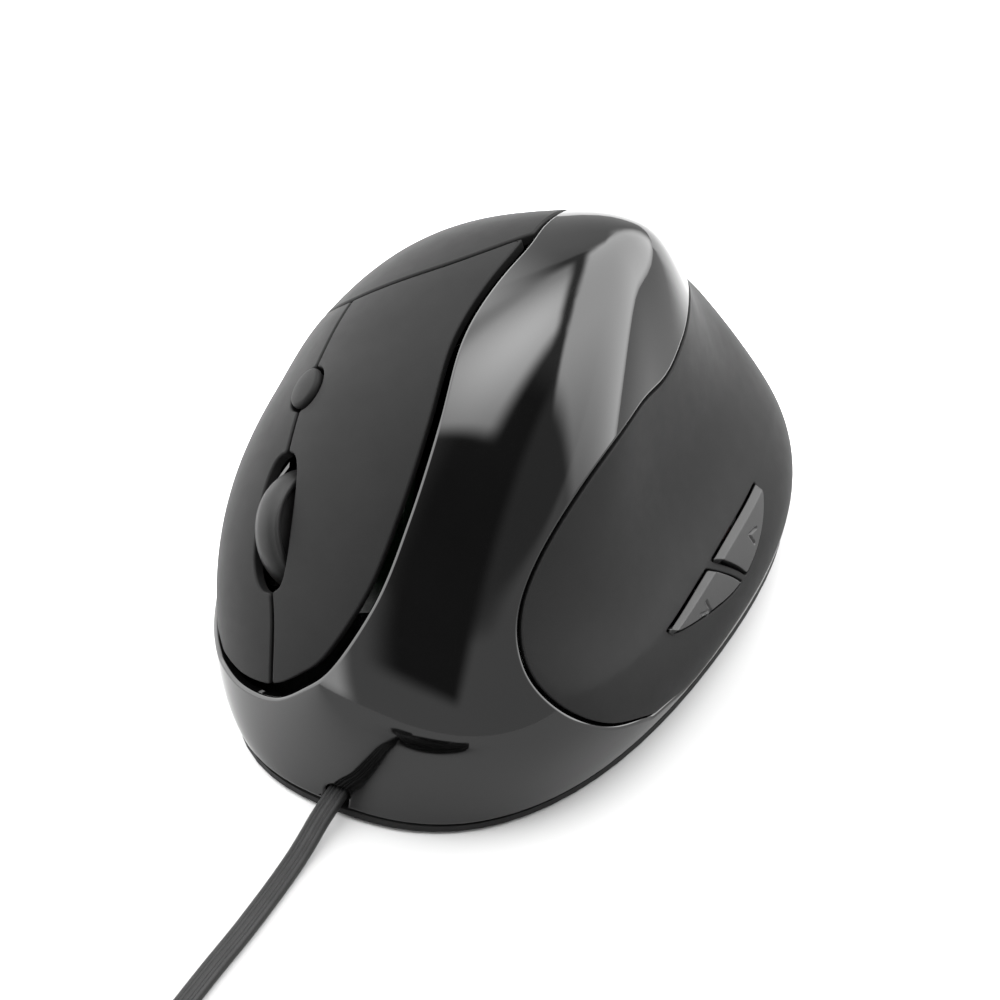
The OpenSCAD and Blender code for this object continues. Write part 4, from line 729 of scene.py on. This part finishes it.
def patch_place(sides, p):
    """Patch places u, v of plan points, from the nearest grid point by Newton steps."""
    share = np.linspace(0, 1, 33)
    u, v = (g.ravel() for g in np.meshgrid(share, share, indexing="ij"))
    nodes = patch(sides, u, v)
    flat = p.reshape(-1, 2)
    near = np.concatenate([np.argmin(((part[:, None] - nodes) ** 2).sum(-1), axis=1)
                           for part in np.array_split(flat, max(1, len(flat) // 2000))])
    u, v = u[near], v[near]
    h = 1e-4
    for _ in range(6):
        miss = patch(sides, u, v) - flat
        du = (patch(sides, u + h, v) - patch(sides, u - h, v)) / (2 * h)
        dv = (patch(sides, u, v + h) - patch(sides, u, v - h)) / (2 * h)
        det = du[:, 0] * dv[:, 1] - du[:, 1] * dv[:, 0]
        u = u - np.clip((miss[:, 0] * dv[:, 1] - miss[:, 1] * dv[:, 0]) / det, -.1, .1)
        v = v - np.clip((du[:, 0] * miss[:, 1] - du[:, 1] * miss[:, 0]) / det, -.1, .1)
    return u.reshape(p.shape[:-1]), v.reshape(p.shape[:-1])


# Plan loops

def leftward(surface, points, closed):
    """Plan step for one millimetre to the left of a line, and that direction in space."""
    at, out, a, b = spread(surface, points)
    run = np.roll(at, -1, 0) - np.roll(at, 1, 0) if closed else np.gradient(at, axis=0)
    left = unit(np.cross(out, unit(run)))
    aa, ab, bb = dot(a, a), dot(a, b), dot(b, b)
    la, lb = dot(left, a), dot(left, b)
    det = aa * bb - ab * ab
    return np.stack([(la * bb - lb * ab) / det, (lb * aa - la * ab) / det], -1), left


def crossing(a, b):
    """Where line a last crosses line b: both segment numbers and the point, or None."""
    p, r = a[:-1, None], (a[1:] - a[:-1])[:, None]
    q, s = b[None, :-1], (b[1:] - b[:-1])[None]
    flat = r[..., 0] * s[..., 1] - r[..., 1] * s[..., 0]
    flat = np.where(np.abs(flat) < 1e-15, 1e-15, flat)
    gap = q - p
    t = (gap[..., 0] * s[..., 1] - gap[..., 1] * s[..., 0]) / flat
    u = (gap[..., 0] * r[..., 1] - gap[..., 1] * r[..., 0]) / flat
    hits = np.argwhere((t >= 0) & (t <= 1) & (u >= 0) & (u <= 1))
    if not len(hits):
        return None
    i, j = hits[-1]
    return i, j, a[i] + t[i, j] * (a[i + 1] - a[i])


def joined(lines):
    """Closed loop of lines laid end to end, each corner cut where neighbours cross."""
    lines = [np.asarray(l) for l in lines]
    for k in range(len(lines)):
        n = (k + 1) % len(lines)
        hit = crossing(lines[k], lines[n])
        if hit:
            i, j, point = hit
            lines[k] = np.vstack([lines[k][:i + 1], point])
            lines[n] = np.vstack([point, lines[n][j + 1:]])
    return np.vstack([l[:-1] for l in lines])


def spaced(loop, spacing, soften=0.):
    """Closed loop of evenly spaced plan points, its corners softened over a length, in millimetres."""
    fine = .12
    for step in (fine, spacing):
        ring = np.vstack([loop, loop[:1]])
        length = np.concatenate([[0], np.cumsum(np.linalg.norm(np.diff(skin(ring), axis=0), axis=1))])
        count = max(12, int(round(length[-1] / step)))
        at = np.linspace(0, length[-1], count, endpoint=False)
        loop = np.stack([np.interp(at, length, ring[:, k]) for k in (0, 1)], -1)
        if step == fine and soften > 0:
            reach = int(round(3 * soften / fine))
            weight = np.exp(-.5 * (np.arange(-reach, reach + 1) * fine / soften) ** 2)
            weight /= weight.sum()
            loop = sum(w * np.roll(loop, k, 0) for w, k in zip(weight, range(-reach, reach + 1)))
    return loop


def turned(loop, counter):
    """The loop in counter-clockwise or clockwise order."""
    x, y = loop[:, 0], loop[:, 1]
    area = np.sum(x * np.roll(y, -1) - np.roll(x, -1) * y)
    return loop if (area > 0) == counter else loop[::-1]


def inset(lines, spacing, soften):
    """Closed loop inside lines given counter-clockwise, each moved left by its gap in millimetres."""
    moved = [points + np.asarray(gap)[..., None] * leftward(skin, points, False)[0]
             for points, gap in lines]
    return turned(spaced(joined(moved), spacing, soften), True)


def run_along(points, first, last, count=500):
    return line_at(points, np.linspace(first, last, count))


def inside(p, loops):
    """Which plan points lie inside a set of loops, counted by crossings."""
    odd = np.zeros(len(p), bool)
    for loop in loops:
        a, b = loop, np.roll(loop, -1, 0)
        for (ax, ay), (bx, by) in zip(a, b):
            if ay == by:
                continue
            cut = (p[:, 1] < ay) != (p[:, 1] < by)
            odd ^= cut & (p[:, 0] < ax + (p[:, 1] - ay) * (bx - ax) / (by - ay))
    return odd


def filled(loops, spacing):
    """Plan points spread inside loops, clear of their edges, on a staggered grid."""
    every = np.vstack(loops)
    low, high = every.min(0), every.max(0)
    rows = np.arange(low[1], high[1], spacing * .866)
    grid = np.array([(x + (k % 2) * spacing / 2, y) for k, y in enumerate(rows)
                     for x in np.arange(low[0], high[0], spacing)])
    grid = grid[inside(grid, loops)]
    clear = np.concatenate([((part[:, None] - every) ** 2).sum(-1).min(1)
                            for part in np.array_split(grid, max(1, len(grid) // 1000))])
    return grid[clear > (.62 * spacing) ** 2]


def triangles(points, loops_at):
    """Triangles over plan points, bounded by loops given as runs of point numbers."""
    edges = [(a, b) for run in loops_at for a, b in zip(run, np.roll(run, -1))]
    made = delaunay_2d_cdt([Vector(p) for p in points], [(int(a), int(b)) for a, b in edges], [], 0, 1e-9)
    back = [o[0] if o else -1 for o in made[3]]
    faces = np.array([[back[i] for i in f] for f in made[2]])
    faces = faces[(faces >= 0).all(1)]
    middle = points[faces].mean(1)
    return faces[inside(middle, [points[run] for run in loops_at])]


# Rounded edge: steps of the turn from the side wall to the face
EDGE_TURNS = np.radians((0, 22.5, 45, 67.5, 90))
# Plan units for a millimetre, on the middle of the body
PLAN_MM = 1 / 62


def shell(loops, surface, wall, radius, spacing, lean=None):
    """Closed shell over a plan region, with rounded edges: points, faces and corner normals.

    The first loop is the outer edge, counter-clockwise; the others are holes, clockwise.
    lean, where given, turns the wall's way inward for plan points and normals.
    """
    verts, normals, faces, face_normals = [], [], [], []
    total = 0

    def add(points, directions):
        nonlocal total
        verts.append(points)
        normals.append(directions)
        total += len(points)
        return np.arange(total - len(points), total)

    def strip(low, high, low_normals, high_normals):
        ahead = np.roll(np.arange(len(low)), -1)
        for i, k in enumerate(ahead):
            faces.append((low[i], low[k], high[k], high[i]))
            face_normals.append((low_normals[i], low_normals[k], high_normals[k], high_normals[i]))

    def inward(p, out):
        return out if lean is None else lean(p, out)

    fronts, backs, plans, sides = [], [], [], []
    for loop in loops:
        step, left = leftward(surface, loop, True)
        rows = []
        for turn in EDGE_TURNS:
            p = loop + radius * (1 - math.cos(turn)) * step
            at, out, _, _ = spread(surface, p)
            way = inward(p, out)
            rows.append(add(at - radius * (1 - math.sin(turn)) * way,
                            unit(math.sin(turn) * out - math.cos(turn) * left)))
        for a, b in zip(rows, rows[1:]):
            strip(a, b, a, b)
        at, out, _, _ = spread(surface, loop)
        way = inward(loop, out)
        under = add(at - wall * way, -left)
        strip(under, rows[0], under, rows[0])
        sides.append((under, add(at - wall * way, -out)))
        fronts.append(rows[-1])
        plans.append(loop + radius * step)

    inner = filled(plans, spacing * PLAN_MM)
    at, out, _, _ = spread(surface, inner)
    middle = add(at, out)
    under_middle = add(at - wall * inward(inner, out), -out)
    for plan in plans:
        at, out, _, _ = spread(surface, plan)
        backs.append(add(at - wall * inward(plan, out), -out))
    for (under, under_normal), back in zip(sides, backs):
        strip(back, under, back, under_normal)

    points = np.vstack(plans + [inner])
    top = np.concatenate(fronts + [middle])
    bottom = np.concatenate(backs + [under_middle])
    starts = np.cumsum([0] + [len(p) for p in plans])
    runs = [np.arange(a, b) for a, b in zip(starts, starts[1:])]
    for a, b, c in triangles(points, runs):
        faces.append((top[a], top[b], top[c]))
        face_normals.append((top[a], top[b], top[c]))
        faces.append((bottom[c], bottom[b], bottom[a]))
        face_normals.append((bottom[c], bottom[b], bottom[a]))
    normals = np.concatenate(normals)
    # The under edge's own row of normals belongs to the side wall only
    used = np.concatenate(verts)
    corner = np.array([normals[i] for row in face_normals for i in row])
    return merged(used, faces, corner)


def merged(verts, faces, corner_normals):
    """The same mesh with points that share a place made one."""
    keys, first, back = np.unique(np.round(verts, 7), axis=0, return_index=True, return_inverse=True)
    back = np.ravel(back)
    return verts[first], [tuple(back[list(f)]) for f in faces], corner_normals


# Cover

MOUTH_HALF = 1.98
MOUTH_TOP = 5.3
MOUTH_CORNER = .8
COVER_WALL = 1.8
COVER_EDGE = .75
GROOVE = 1.8
GROOVE_FRONT = 2.2
GROOVE_CORNER = 1.1
SEAM_PAST = .4
PANEL_GAP = .5
PANEL_WALL = 1.8


def plan_at(x, z, start):
    """Plan point of the skin at a given x and z, by Newton steps."""
    p = np.array(start, float)
    for _ in range(12):
        at, _, a, b = spread(skin, p)
        miss = np.array((at[0] - x, at[2] - z))
        slopes = np.array(((a[0], b[0]), (a[2], b[2])))
        p = p - np.linalg.solve(slopes, miss)
    return p


def base_loop(spacing):
    """Base edge of the cover, with the cord's mouth in front."""
    mouth = [(MOUTH_HALF, SEAT)]
    corner_z = MOUTH_TOP - MOUTH_CORNER
    for a in np.radians(np.linspace(0, 180, 13)):
        side = MOUTH_HALF - MOUTH_CORNER if a < math.pi / 2 else MOUTH_CORNER - MOUTH_HALF
        mouth.append((side + MOUTH_CORNER * math.cos(a), corner_z + MOUTH_CORNER * math.sin(a)))
    mouth.append((-MOUTH_HALF, SEAT))
    notch = np.array([plan_at(CORD_X + x, z, (0, .97)) for x, z in mouth])
    first = math.atan2(notch[-1][1], notch[-1][0])
    last = math.atan2(notch[0][1], notch[0][0]) + 2 * math.pi
    angles = np.linspace(first, last, 1500)
    round_edge = np.stack([np.cos(angles), np.sin(angles)], -1)
    return turned(spaced(np.vstack([round_edge, notch[1:-1]]), spacing), True)


def cover_lean(p, out):
    """Inward way of the cover's wall: level at the base, along the normal higher up."""
    share = ease((1 - np.hypot(p[:, 0], p[:, 1])) / .07)
    return unit(out * np.stack([share * 0 + 1, share * 0 + 1, share], -1))


def finger_opening(spacing):
    loop = np.vstack([run_along(FINGER_EDGE, 0, 17), run_along(FINGER_RIM, 8, 0)[1:-1]])
    return spaced(loop, spacing, .5)


def thumb_opening(spacing):
    loop = np.vstack([run_along(THUMB_RIM, 0, 5), run_along(THUMB_EDGE, 17, 0)[1:-1]])
    return spaced(loop, spacing, .5)


def make_cover(looks):
    """Glossy cover: front skirt, spine band, top and back in one shell with two openings."""
    loops = [base_loop(.7), turned(finger_opening(.7), False), turned(thumb_opening(.7), False)]
    verts, faces, normals = shell(loops, skin, COVER_WALL, COVER_EDGE, 1.25, cover_lean)
    return add_piece("cover", verts, faces, looks["gloss_cover"], "housing", "gloss_cover",
                     ("spine_cover",), normals)


# Finger side: two buttons, palm panel, oval button and wheel

RECESS = .8
RECESS_RUN = 16
SEAM_GAP = .5
PALM_GAP = .6
WHEEL_PLACE = 4.3
OVAL_PLACE = 2
SLOT_REACH = 12
SLOT_LEFT = 3.8
SLOT_RIGHT = 4.2
SLOT_POWER = 2.6
OVAL_SIZE = (6.4, 7.6)
OVAL_AIR = .6


def seam_run(first, last):
    """Seam points with their lengths along the skin from the wheel and from the oval button."""
    places = np.linspace(first, last, 2400)
    points = line_at(SEAM, places)
    length = np.concatenate([[0], np.cumsum(np.linalg.norm(np.diff(skin(points), axis=0), axis=1))])
    order = np.argsort(places)
    wheel = np.interp(WHEEL_PLACE, places[order], length[order])
    oval = np.interp(OVAL_PLACE, places[order], length[order])
    return points, length - wheel, length - oval


def bulge(x, power):
    return np.maximum(0, 1 - np.abs(x) ** power) ** (1 / power)


def seam_gap(from_wheel, from_oval, slot_half):
    """Half width of the opening along the seam."""
    wheel = (slot_half - SEAM_GAP / 2) * bulge(from_wheel / SLOT_REACH, SLOT_POWER)
    oval_reach = OVAL_SIZE[1] / 2 + OVAL_AIR
    oval = (OVAL_SIZE[0] / 2 + OVAL_AIR - SEAM_GAP / 2) * bulge(from_oval / oval_reach, 2)
    return SEAM_GAP / 2 + wheel + oval


def recessed(p):
    """Face of the finger buttons: level with the palm panel at its edge, sunk farther on."""
    line = skin(run_along(PALM_LINE, 0, 5, 240))
    flat = skin(p).reshape(-1, 3)
    away = np.concatenate([np.sqrt(((part[:, None] - line) ** 2).sum(-1).min(1))
                           for part in np.array_split(flat, max(1, len(flat) // 2000))])
    return lifted(p, -RECESS * ease(away.reshape(p.shape[:-1]) / RECESS_RUN))


def groove(first, last):
    """Gap beside the cover along the fingers, wider toward the front."""
    return mix(GROOVE_FRONT, GROOVE, ease((np.linspace(first, last, 500) - 3) / 4))


def make_left_button(looks):
    seam, wheel, oval = seam_run(0, 7)
    lines = [(seam, seam_gap(wheel, oval, SLOT_LEFT)),
             (run_along(FINGER_EDGE, SEAM_PLACE, 10), groove(SEAM_PLACE, 10)),
             (run_along(PALM_LINE, 0, 2), np.full(500, PALM_GAP / 2))]
    loop = inset(lines, .55, .3)
    verts, faces, normals = shell([loop], recessed, PANEL_WALL, .4, 1)
    return add_piece("left_key", verts, faces, looks["matte_panel"], "left_button", "matte_panel",
                     ("left_button",), normals)


def make_right_button(looks):
    seam, wheel, oval = seam_run(7, 0)
    front = np.linspace(1, 0, 500)
    lines = [(seam, seam_gap(wheel, oval, SLOT_RIGHT)),
             (run_along(PALM_LINE, 2, 5), np.full(500, PALM_GAP / 2)),
             (run_along(FINGER_RIM, PALM_RIM_PLACE, 0), mix(GROOVE_CORNER, GROOVE, front)),
             (run_along(FINGER_EDGE, 0, SEAM_PLACE + SEAM_PAST), mix(GROOVE_FRONT, GROOVE_CORNER, front))]
    loop = inset(lines, .55, .3)
    verts, faces, normals = shell([loop], recessed, PANEL_WALL, .4, 1)
    return add_piece("right_key", verts, faces, looks["matte_panel"], "right_button", "matte_panel",
                     ("right_button",), normals)


def make_palm_panel(looks):
    lines = [(run_along(FINGER_EDGE, 10, 17), np.full(500, PANEL_GAP)),
             (run_along(FINGER_RIM, 8, PALM_RIM_PLACE), np.full(500, PANEL_GAP)),
             (run_along(PALM_LINE, 5, 0), np.full(500, PALM_GAP / 2))]
    loop = inset(lines, .6, .35)
    verts, faces, normals = shell([loop], skin, PANEL_WALL, .5, 1.1)
    return add_piece("palm_rest", verts, faces, looks["matte_panel"], "housing", "matte_panel",
                     ("palm_panel",), normals)


OVAL_FRAME = np.array(((28.084, 15.7898, 48.8492), (.764773, -.134715, -.630059),
                       (-.113783, .934288, -.337875), (.634173, .330087, .69919)))
OVAL_TOP = -.1


def make_oval_button(looks):
    """Small oval button with a softly domed face and a rounded rim."""
    rows = [(.93, -2.6), (.93, -1.3), (1, -1.2)]
    rim = .75
    for a in np.radians(np.linspace(0, 78, 8)):
        rows.append((1 - rim * (1 - math.cos(a)) / 4, OVAL_TOP - rim + rim * math.sin(a)))
    top_share, top = rows[-1]
    for share in (.9, .75, .55, .35, .15):
        rows.append((top_share * share, top + .32 * (1 - share ** 2)))
    angles = np.linspace(0, 2 * math.pi, 72, endpoint=False)
    oval = np.stack([OVAL_SIZE[0] / 2 * np.cos(angles), OVAL_SIZE[1] / 2 * np.sin(angles)], -1)
    origin, x, y, z = OVAL_FRAME
    rings = [origin + share * (oval[:, :1] * x + oval[:, 1:] * y) + height * z for share, height in rows]
    verts, faces = tube(rings)
    piece = add_piece("oval_key", verts, faces, looks["matte_panel"], "oval_button", "matte_panel",
                      ("oval_button",))
    sharpen(piece, 50)
    return piece


WHEEL_AT = np.array((19.6025, 31.5303, 32.3637))
WHEEL_X = np.array((.870435, -.067616, -.487618))
WHEEL_Y = np.array((-.254825, .785603, -.563819))
WHEEL_Z = np.array((.421197, .615025, .666586))
WHEEL_RADIUS = 10.4
WHEEL_HALF = 2.6
HUB_RADIUS = 8.4


def make_tyre(looks):
    """Rubber tyre: a lightly crowned tread with rounded shoulders."""
    shoulder = .7
    crown = .75
    profile = [(-WHEEL_HALF + .15, HUB_RADIUS), (-WHEEL_HALF, HUB_RADIUS + .2)]
    low = WHEEL_RADIUS - crown
    for a in np.radians(np.linspace(180, 100, 7)):
        profile.append((shoulder - WHEEL_HALF + shoulder * math.cos(a),
                        low - shoulder + shoulder * math.sin(a)))
    flat = WHEEL_HALF - shoulder
    for x in np.linspace(-flat, flat, 11)[1:-1]:
        profile.append((x, low + crown * (1 - (x / flat) ** 2) ** .8))
    profile += [(-x, r) for x, r in profile[8::-1]]
    rings = []
    for a in np.linspace(0, 2 * math.pi, 128, endpoint=False):
        spoke = math.cos(a) * WHEEL_Z + math.sin(a) * WHEEL_Y
        rings.append(np.array([WHEEL_AT + x * WHEEL_X + r * spoke for x, r in profile]))
    verts, faces = tube(rings, closed=True)
    piece = add_piece("tyre", verts, faces, looks["wheel_rubber"], "wheel", "wheel_rubber", ("wheel_tyre",))
    sharpen(piece, 55)
    return piece


# Thumb side: hollow panel and two buttons below its crease

SIDE_PLACE = 4.42
SIDE_WINDOW = 1.4
SIDE_LENGTH = 41
SIDE_DEPTH = 9.6
SIDE_GAP = .45
CREASE_GAP = .2
SIDE_BRIDGE = 1.8
SPLIT_LOW = 4.5
SPLIT_HIGH = 4.18
TIP_TURN = math.radians(16)
HOLLOW_DEPTH = 2
crease_run = skin(run_along(CREASE, SIDE_PLACE - SIDE_WINDOW, SIDE_PLACE + SIDE_WINDOW, 9))
CREASE_PACE = np.linalg.norm(np.diff(crease_run, axis=0), axis=1).sum() / (2 * SIDE_WINDOW)
SIDE_MID = SIDE_PLACE / CREASE_LAST
SIDE_HALF = SIDE_LENGTH / 2 / CREASE_PACE / CREASE_LAST


def low_tall(u):
    """Height of the panel below the crease."""
    ends = [skin(patch(LOW_SIDES, u, 0 * u + v)) for v in (0, 1)]
    return np.linalg.norm(ends[1] - ends[0], axis=-1)


def moon(u):
    """Drop of the button opening below the crease."""
    return SIDE_DEPTH * np.sqrt(np.maximum(0, 1 - ((u - SIDE_MID) / SIDE_HALF) ** 2))


def key_opening(sign):
    """Opening of one thumb button: crease, split line, arc and a short blunt tip."""
    tip = SIDE_MID + sign * SIDE_HALF * math.cos(TIP_TURN)
    share = np.linspace(0, 1, 200)
    split = mix(SPLIT_LOW, SPLIT_HIGH, share) / CREASE_LAST
    split = split + sign * SIDE_BRIDGE / 2 / CREASE_PACE / CREASE_LAST
    crease_u = mix(tip, split[-1], share)
    arc_u = mix(split[0], tip, share)
    u = np.concatenate([crease_u, split[::-1], arc_u, np.full(200, tip)])
    drop = np.concatenate([0 * share, ((1 - share) * moon(split))[::-1], moon(arc_u),
                           moon(tip) * (1 - share)])
    points = patch(LOW_SIDES, u, 1 - drop / low_tall(u))
    return spaced(points, .5, .3)


def hollow_surface(p):
    """Thumb panel's face: the skin, sunk in a long hollow above the crease."""
    u, v = patch_place(HIGH_SIDES, p)
    v = np.clip(v, 0, 1)
    soft = v * v / (v + .05)
    sink = HOLLOW_DEPTH * 4 * soft * (1 - v) * ease(u / .3) * ease((1 - u) / .25)
    return lifted(p, -sink)


def make_thumb_panel(looks):
    edge = turned(thumb_opening(.6), True)
    outer = edge + PANEL_GAP * leftward(skin, edge, True)[0]
    holes = [turned(key_opening(sign), False) for sign in (-1, 1)]
    verts, faces, normals = shell([outer] + holes, hollow_surface, PANEL_WALL, .3, 1.05)
    return add_piece("thumb_rest", verts, faces, looks["matte_panel"], "housing", "matte_panel",
                     ("thumb_panel",), normals)


KEY_FLUSH = .15
KEY_PROUD = 1.45
KEY_RISE = .75
THUMB_AT = np.array((-39.7823, -8.55249, 15.8784))
THUMB_X = np.array((-.00678465, .99984, -.0165812))
THUMB_Y = np.array((-.519992, -.017691, -.853988))
# Arrow marks of the front and the back button: end, point and end, forward and down in millimetres
ARROWS = {-1: ((10.6, -.7), (10.2, 1.5), (13.2, 0)), 1: ((-10.2, 0), (-7.5, -.6), (-8.1, 1.6))}
ARROW_STROKE = .32
ARROW_DEPTH = .3


def arrow_dent(points, sign):
    """Depth of the cut arrow mark on a thumb button."""
    place = np.stack([dot(points - THUMB_AT, THUMB_X), dot(points - THUMB_AT, THUMB_Y)], -1)
    first, middle, last = np.array(ARROWS[sign], float)
    away = np.full(place.shape[:-1], 9.)
    for end in (first, last):
        run = end - middle
        share = np.clip(dot(place - middle, run) / dot(run, run), 0, 1)
        away = np.minimum(away, np.linalg.norm(place - middle - share[..., None] * run, axis=-1))
    return ARROW_DEPTH * ease((ARROW_STROKE - away) / .2)


def key_surface(sign):
    """Face of a thumb button: a short slope up from the crease, a ridge, then a long slope down."""
    def surface(p):
        u, v = patch_place(LOW_SIDES, p)
        drop = (1 - v) * low_tall(u)
        up = KEY_FLUSH + KEY_RISE * (drop - CREASE_GAP)
        down = mix(KEY_PROUD, KEY_FLUSH, drop / SIDE_DEPTH)
        rise = .5 * (up + down - np.sqrt((up - down) ** 2 + .12 ** 2))
        return lifted(p, rise - arrow_dent(skin(p), sign))
    return surface


def make_thumb_button(looks, sign, name, node):
    hole = turned(key_opening(sign), True)
    u, v = patch_place(LOW_SIDES, hole)
    gap = mix(CREASE_GAP, SIDE_GAP, ease(((1 - v) * low_tall(u) - .2) / .8))
    loop = hole + gap[:, None] * leftward(skin, hole, True)[0]
    loop = spaced(loop, .3, .12)
    verts, faces, normals = shell([turned(loop, True)], key_surface(sign), 2.6, .2, .26)
    return add_piece(name, verts, faces, looks["side_key"], node, "side_key", (node,), normals)


# Floor and light

def make_floor():
    """Pale floor with painted shade: greyer in front and on the thumb side than behind and on the finger side."""
    size = 6
    front_painted_shade = .35
    back_grey = .8
    pale_way = (.9, -.45, 0)
    grey_until = -.045
    pale_from = .015
    mesh = bpy.data.meshes.new("floor")
    corners = [(-size, -size, 0), (size, -size, 0), (size, size, 0), (-size, size, 0)]
    mesh.from_pydata(corners, [], [(0, 1, 2, 3)])
    look = Look("floor")
    look.set(Specular_IOR_Level=0, Roughness=1)
    side = look.nodes.new("ShaderNodeVectorMath")
    side.operation = "DOT_PRODUCT"
    side.inputs[1].default_value = pale_way
    look.links.new(look.place, side.inputs[0])
    ground = look.nodes.new("ShaderNodeMapRange")
    ground.interpolation_type = "SMOOTHSTEP"
    ground.inputs["From Min"].default_value = grey_until
    ground.inputs["From Max"].default_value = pale_from
    look.links.new(side.outputs["Value"], ground.inputs["Value"])
    # Painted shade on the floor: darker in front and on the thumb side, so the glossy skirt reflects a greyer floor
    # there.
    look.colour(look.ramp(ground.outputs["Result"], [(0, front_painted_shade), (1, back_grey)]))
    mesh.materials.append(look.material)
    floor = bpy.data.objects.new("floor", mesh)
    bpy.context.scene.collection.objects.link(floor)
    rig.stage(floor)


class Sky:
    """Studio light all round, painted by direction: two soft boxes, a fill and a dark room in front.

    across and ahead are degrees away from straight up, toward +X and toward +Y; height is the
    angle above the floor.
    """

    def __init__(self):
        world = bpy.data.worlds.new("studio")
        world.use_nodes = True
        bpy.context.scene.world = world
        self.nodes = world.node_tree.nodes
        self.links = world.node_tree.links
        place = self.nodes.new("ShaderNodeTexCoord").outputs["Generated"]
        split = self.nodes.new("ShaderNodeSeparateXYZ")
        self.links.new(place, split.inputs[0])
        x, y, z = split.outputs
        self.height = self.math("DEGREES", self.math("ARCSINE", z))
        away = self.math("SUBTRACT", 90., self.height)
        round_angle = self.math("ARCTAN2", x, y)
        self.across = self.math("MULTIPLY", away, self.math("SINE", round_angle))
        self.ahead = self.math("MULTIPLY", away, self.math("COSINE", round_angle))

    def math(self, kind, a, b=None):
        node = self.nodes.new("ShaderNodeMath")
        node.operation = kind
        for k, value in enumerate((a, b)):
            if value is None:
                continue
            if isinstance(value, (int, float)):
                node.inputs[k].default_value = value
            else:
                self.links.new(value, node.inputs[k])
        return node.outputs[0]

    def step(self, value, low, high):
        """0 at low, 1 at high, smooth between."""
        node = self.nodes.new("ShaderNodeMapRange")
        node.interpolation_type = "SMOOTHSTEP"
        node.inputs["From Min"].default_value = low
        node.inputs["From Max"].default_value = high
        self.links.new(value, node.inputs["Value"])
        return node.outputs["Result"]

    def lean(self, across, ahead):
        """Weighted sum of the two ways from straight up."""
        return self.math("ADD", self.math("MULTIPLY", self.across, across),
                         self.math("MULTIPLY", self.ahead, ahead))

    def away_from(self, middle):
        """Degrees from a point given by its two ways from straight up."""
        sides = [self.math("SUBTRACT", way, float(m)) for way, m in zip((self.across, self.ahead), middle)]
        return self.math("SQRT", self.math("ADD", *[self.math("MULTIPLY", side, side) for side in sides]))

    def where(self, *limits):
        """Mask where every (value, low, high) step is past."""
        mask = None
        for value, low, high in limits:
            edge = self.step(value, low, high)
            mask = edge if mask is None else self.math("MULTIPLY", mask, edge)
        return mask

    def blend(self, base, light, mask):
        """The base turned into a light level where the mask is set."""
        keep = self.math("MULTIPLY", self.math("SUBTRACT", 1., mask), base)
        return self.math("ADD", keep, self.math("MULTIPLY", mask, light))

    def finish(self, total):
        back = self.nodes["Background"]
        back.inputs["Color"].default_value = (1, 1, 1, 1)
        self.links.new(total, back.inputs["Strength"])


LOW_LIGHT = 1.1
ROOM_LIGHT = .42
DARK_LIGHT = .1
FILL_LIGHT = 5.2
LEFT_BOX = 6.8
RIGHT_BOX = 3.4
RIGHT_GLOW = 6.8
GLOW_MIDDLE = (9, -1)
GLOW_REACH = 34


def make_light():
    sky = Sky()
    slant = sky.lean(.707, .707)
    fade = sky.lean(-.8, 1)
    total = sky.blend(LOW_LIGHT, ROOM_LIGHT, sky.where((sky.height, 39, 43)))
    fill = sky.where((sky.across, 20, 30), (sky.lean(1, .8), 2, 22), (sky.height, -5, 5),
                     (sky.height, 62, 50))
    total = sky.blend(total, FILL_LIGHT, fill)
    dark = sky.where((sky.across, -21, -14), (sky.across, 18, 4), (sky.ahead, 4, 14), (sky.ahead, 73, 64))
    total = sky.blend(total, DARK_LIGHT, dark)
    left = sky.where((slant, -6.5, -9.5), (sky.ahead, 14, 5), (fade, 75, 5), (sky.across, 31, 20),
                     (sky.height, -4, 4), (sky.lean(-.6, 1), -78, -52))
    total = sky.blend(total, LEFT_BOX, left)
    right = sky.where((slant, -5.5, -2.5), (sky.ahead, 26, 21), (sky.across, -8, -1), (sky.across, 40, 24),
                      (sky.height, 44, 54))
    glow = sky.step(sky.away_from(GLOW_MIDDLE), GLOW_REACH, 0)
    light = sky.math("ADD", sky.math("MULTIPLY", glow, RIGHT_GLOW), RIGHT_BOX)
    total = sky.blend(total, light, right)
    sky.finish(total)


def set_view():
    view = bpy.context.scene.view_settings
    view.view_transform = "Standard"
    view.look = "None"


def write_sizes():
    """Keeps the solids' box and the dressed part's box."""
    boxes = {"cad": [list(v) for v in cad_box], "visual": [list(v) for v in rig.bounds()]}
    with open("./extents.json", "w") as out:
        json.dump(boxes, out)


make_camera()
looks = make_looks()
dress_nodes(looks)
cord, cord_points = make_cord(looks)
grip = make_grip(looks)
strap = make_strap(looks)
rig.cord(cord, exit=cord_points[0], length=CORD_LENGTH, diameter=CORD_WIDE * MM, far_end="plug",
        stiffness="limp", lay="coiled", path=cord_points,
        with_pieces=[grip, strap, "plug_shell", "plug_tongue", "plug_contacts"])
make_cover(looks)
make_left_button(looks)
make_right_button(looks)
make_palm_panel(looks)
make_oval_button(looks)
make_tyre(looks)
make_thumb_panel(looks)
make_thumb_button(looks, -1, "forward_key", "forward_button")
make_thumb_button(looks, 1, "back_key", "back_button")
make_floor()
make_light()
set_view()
write_sizes()
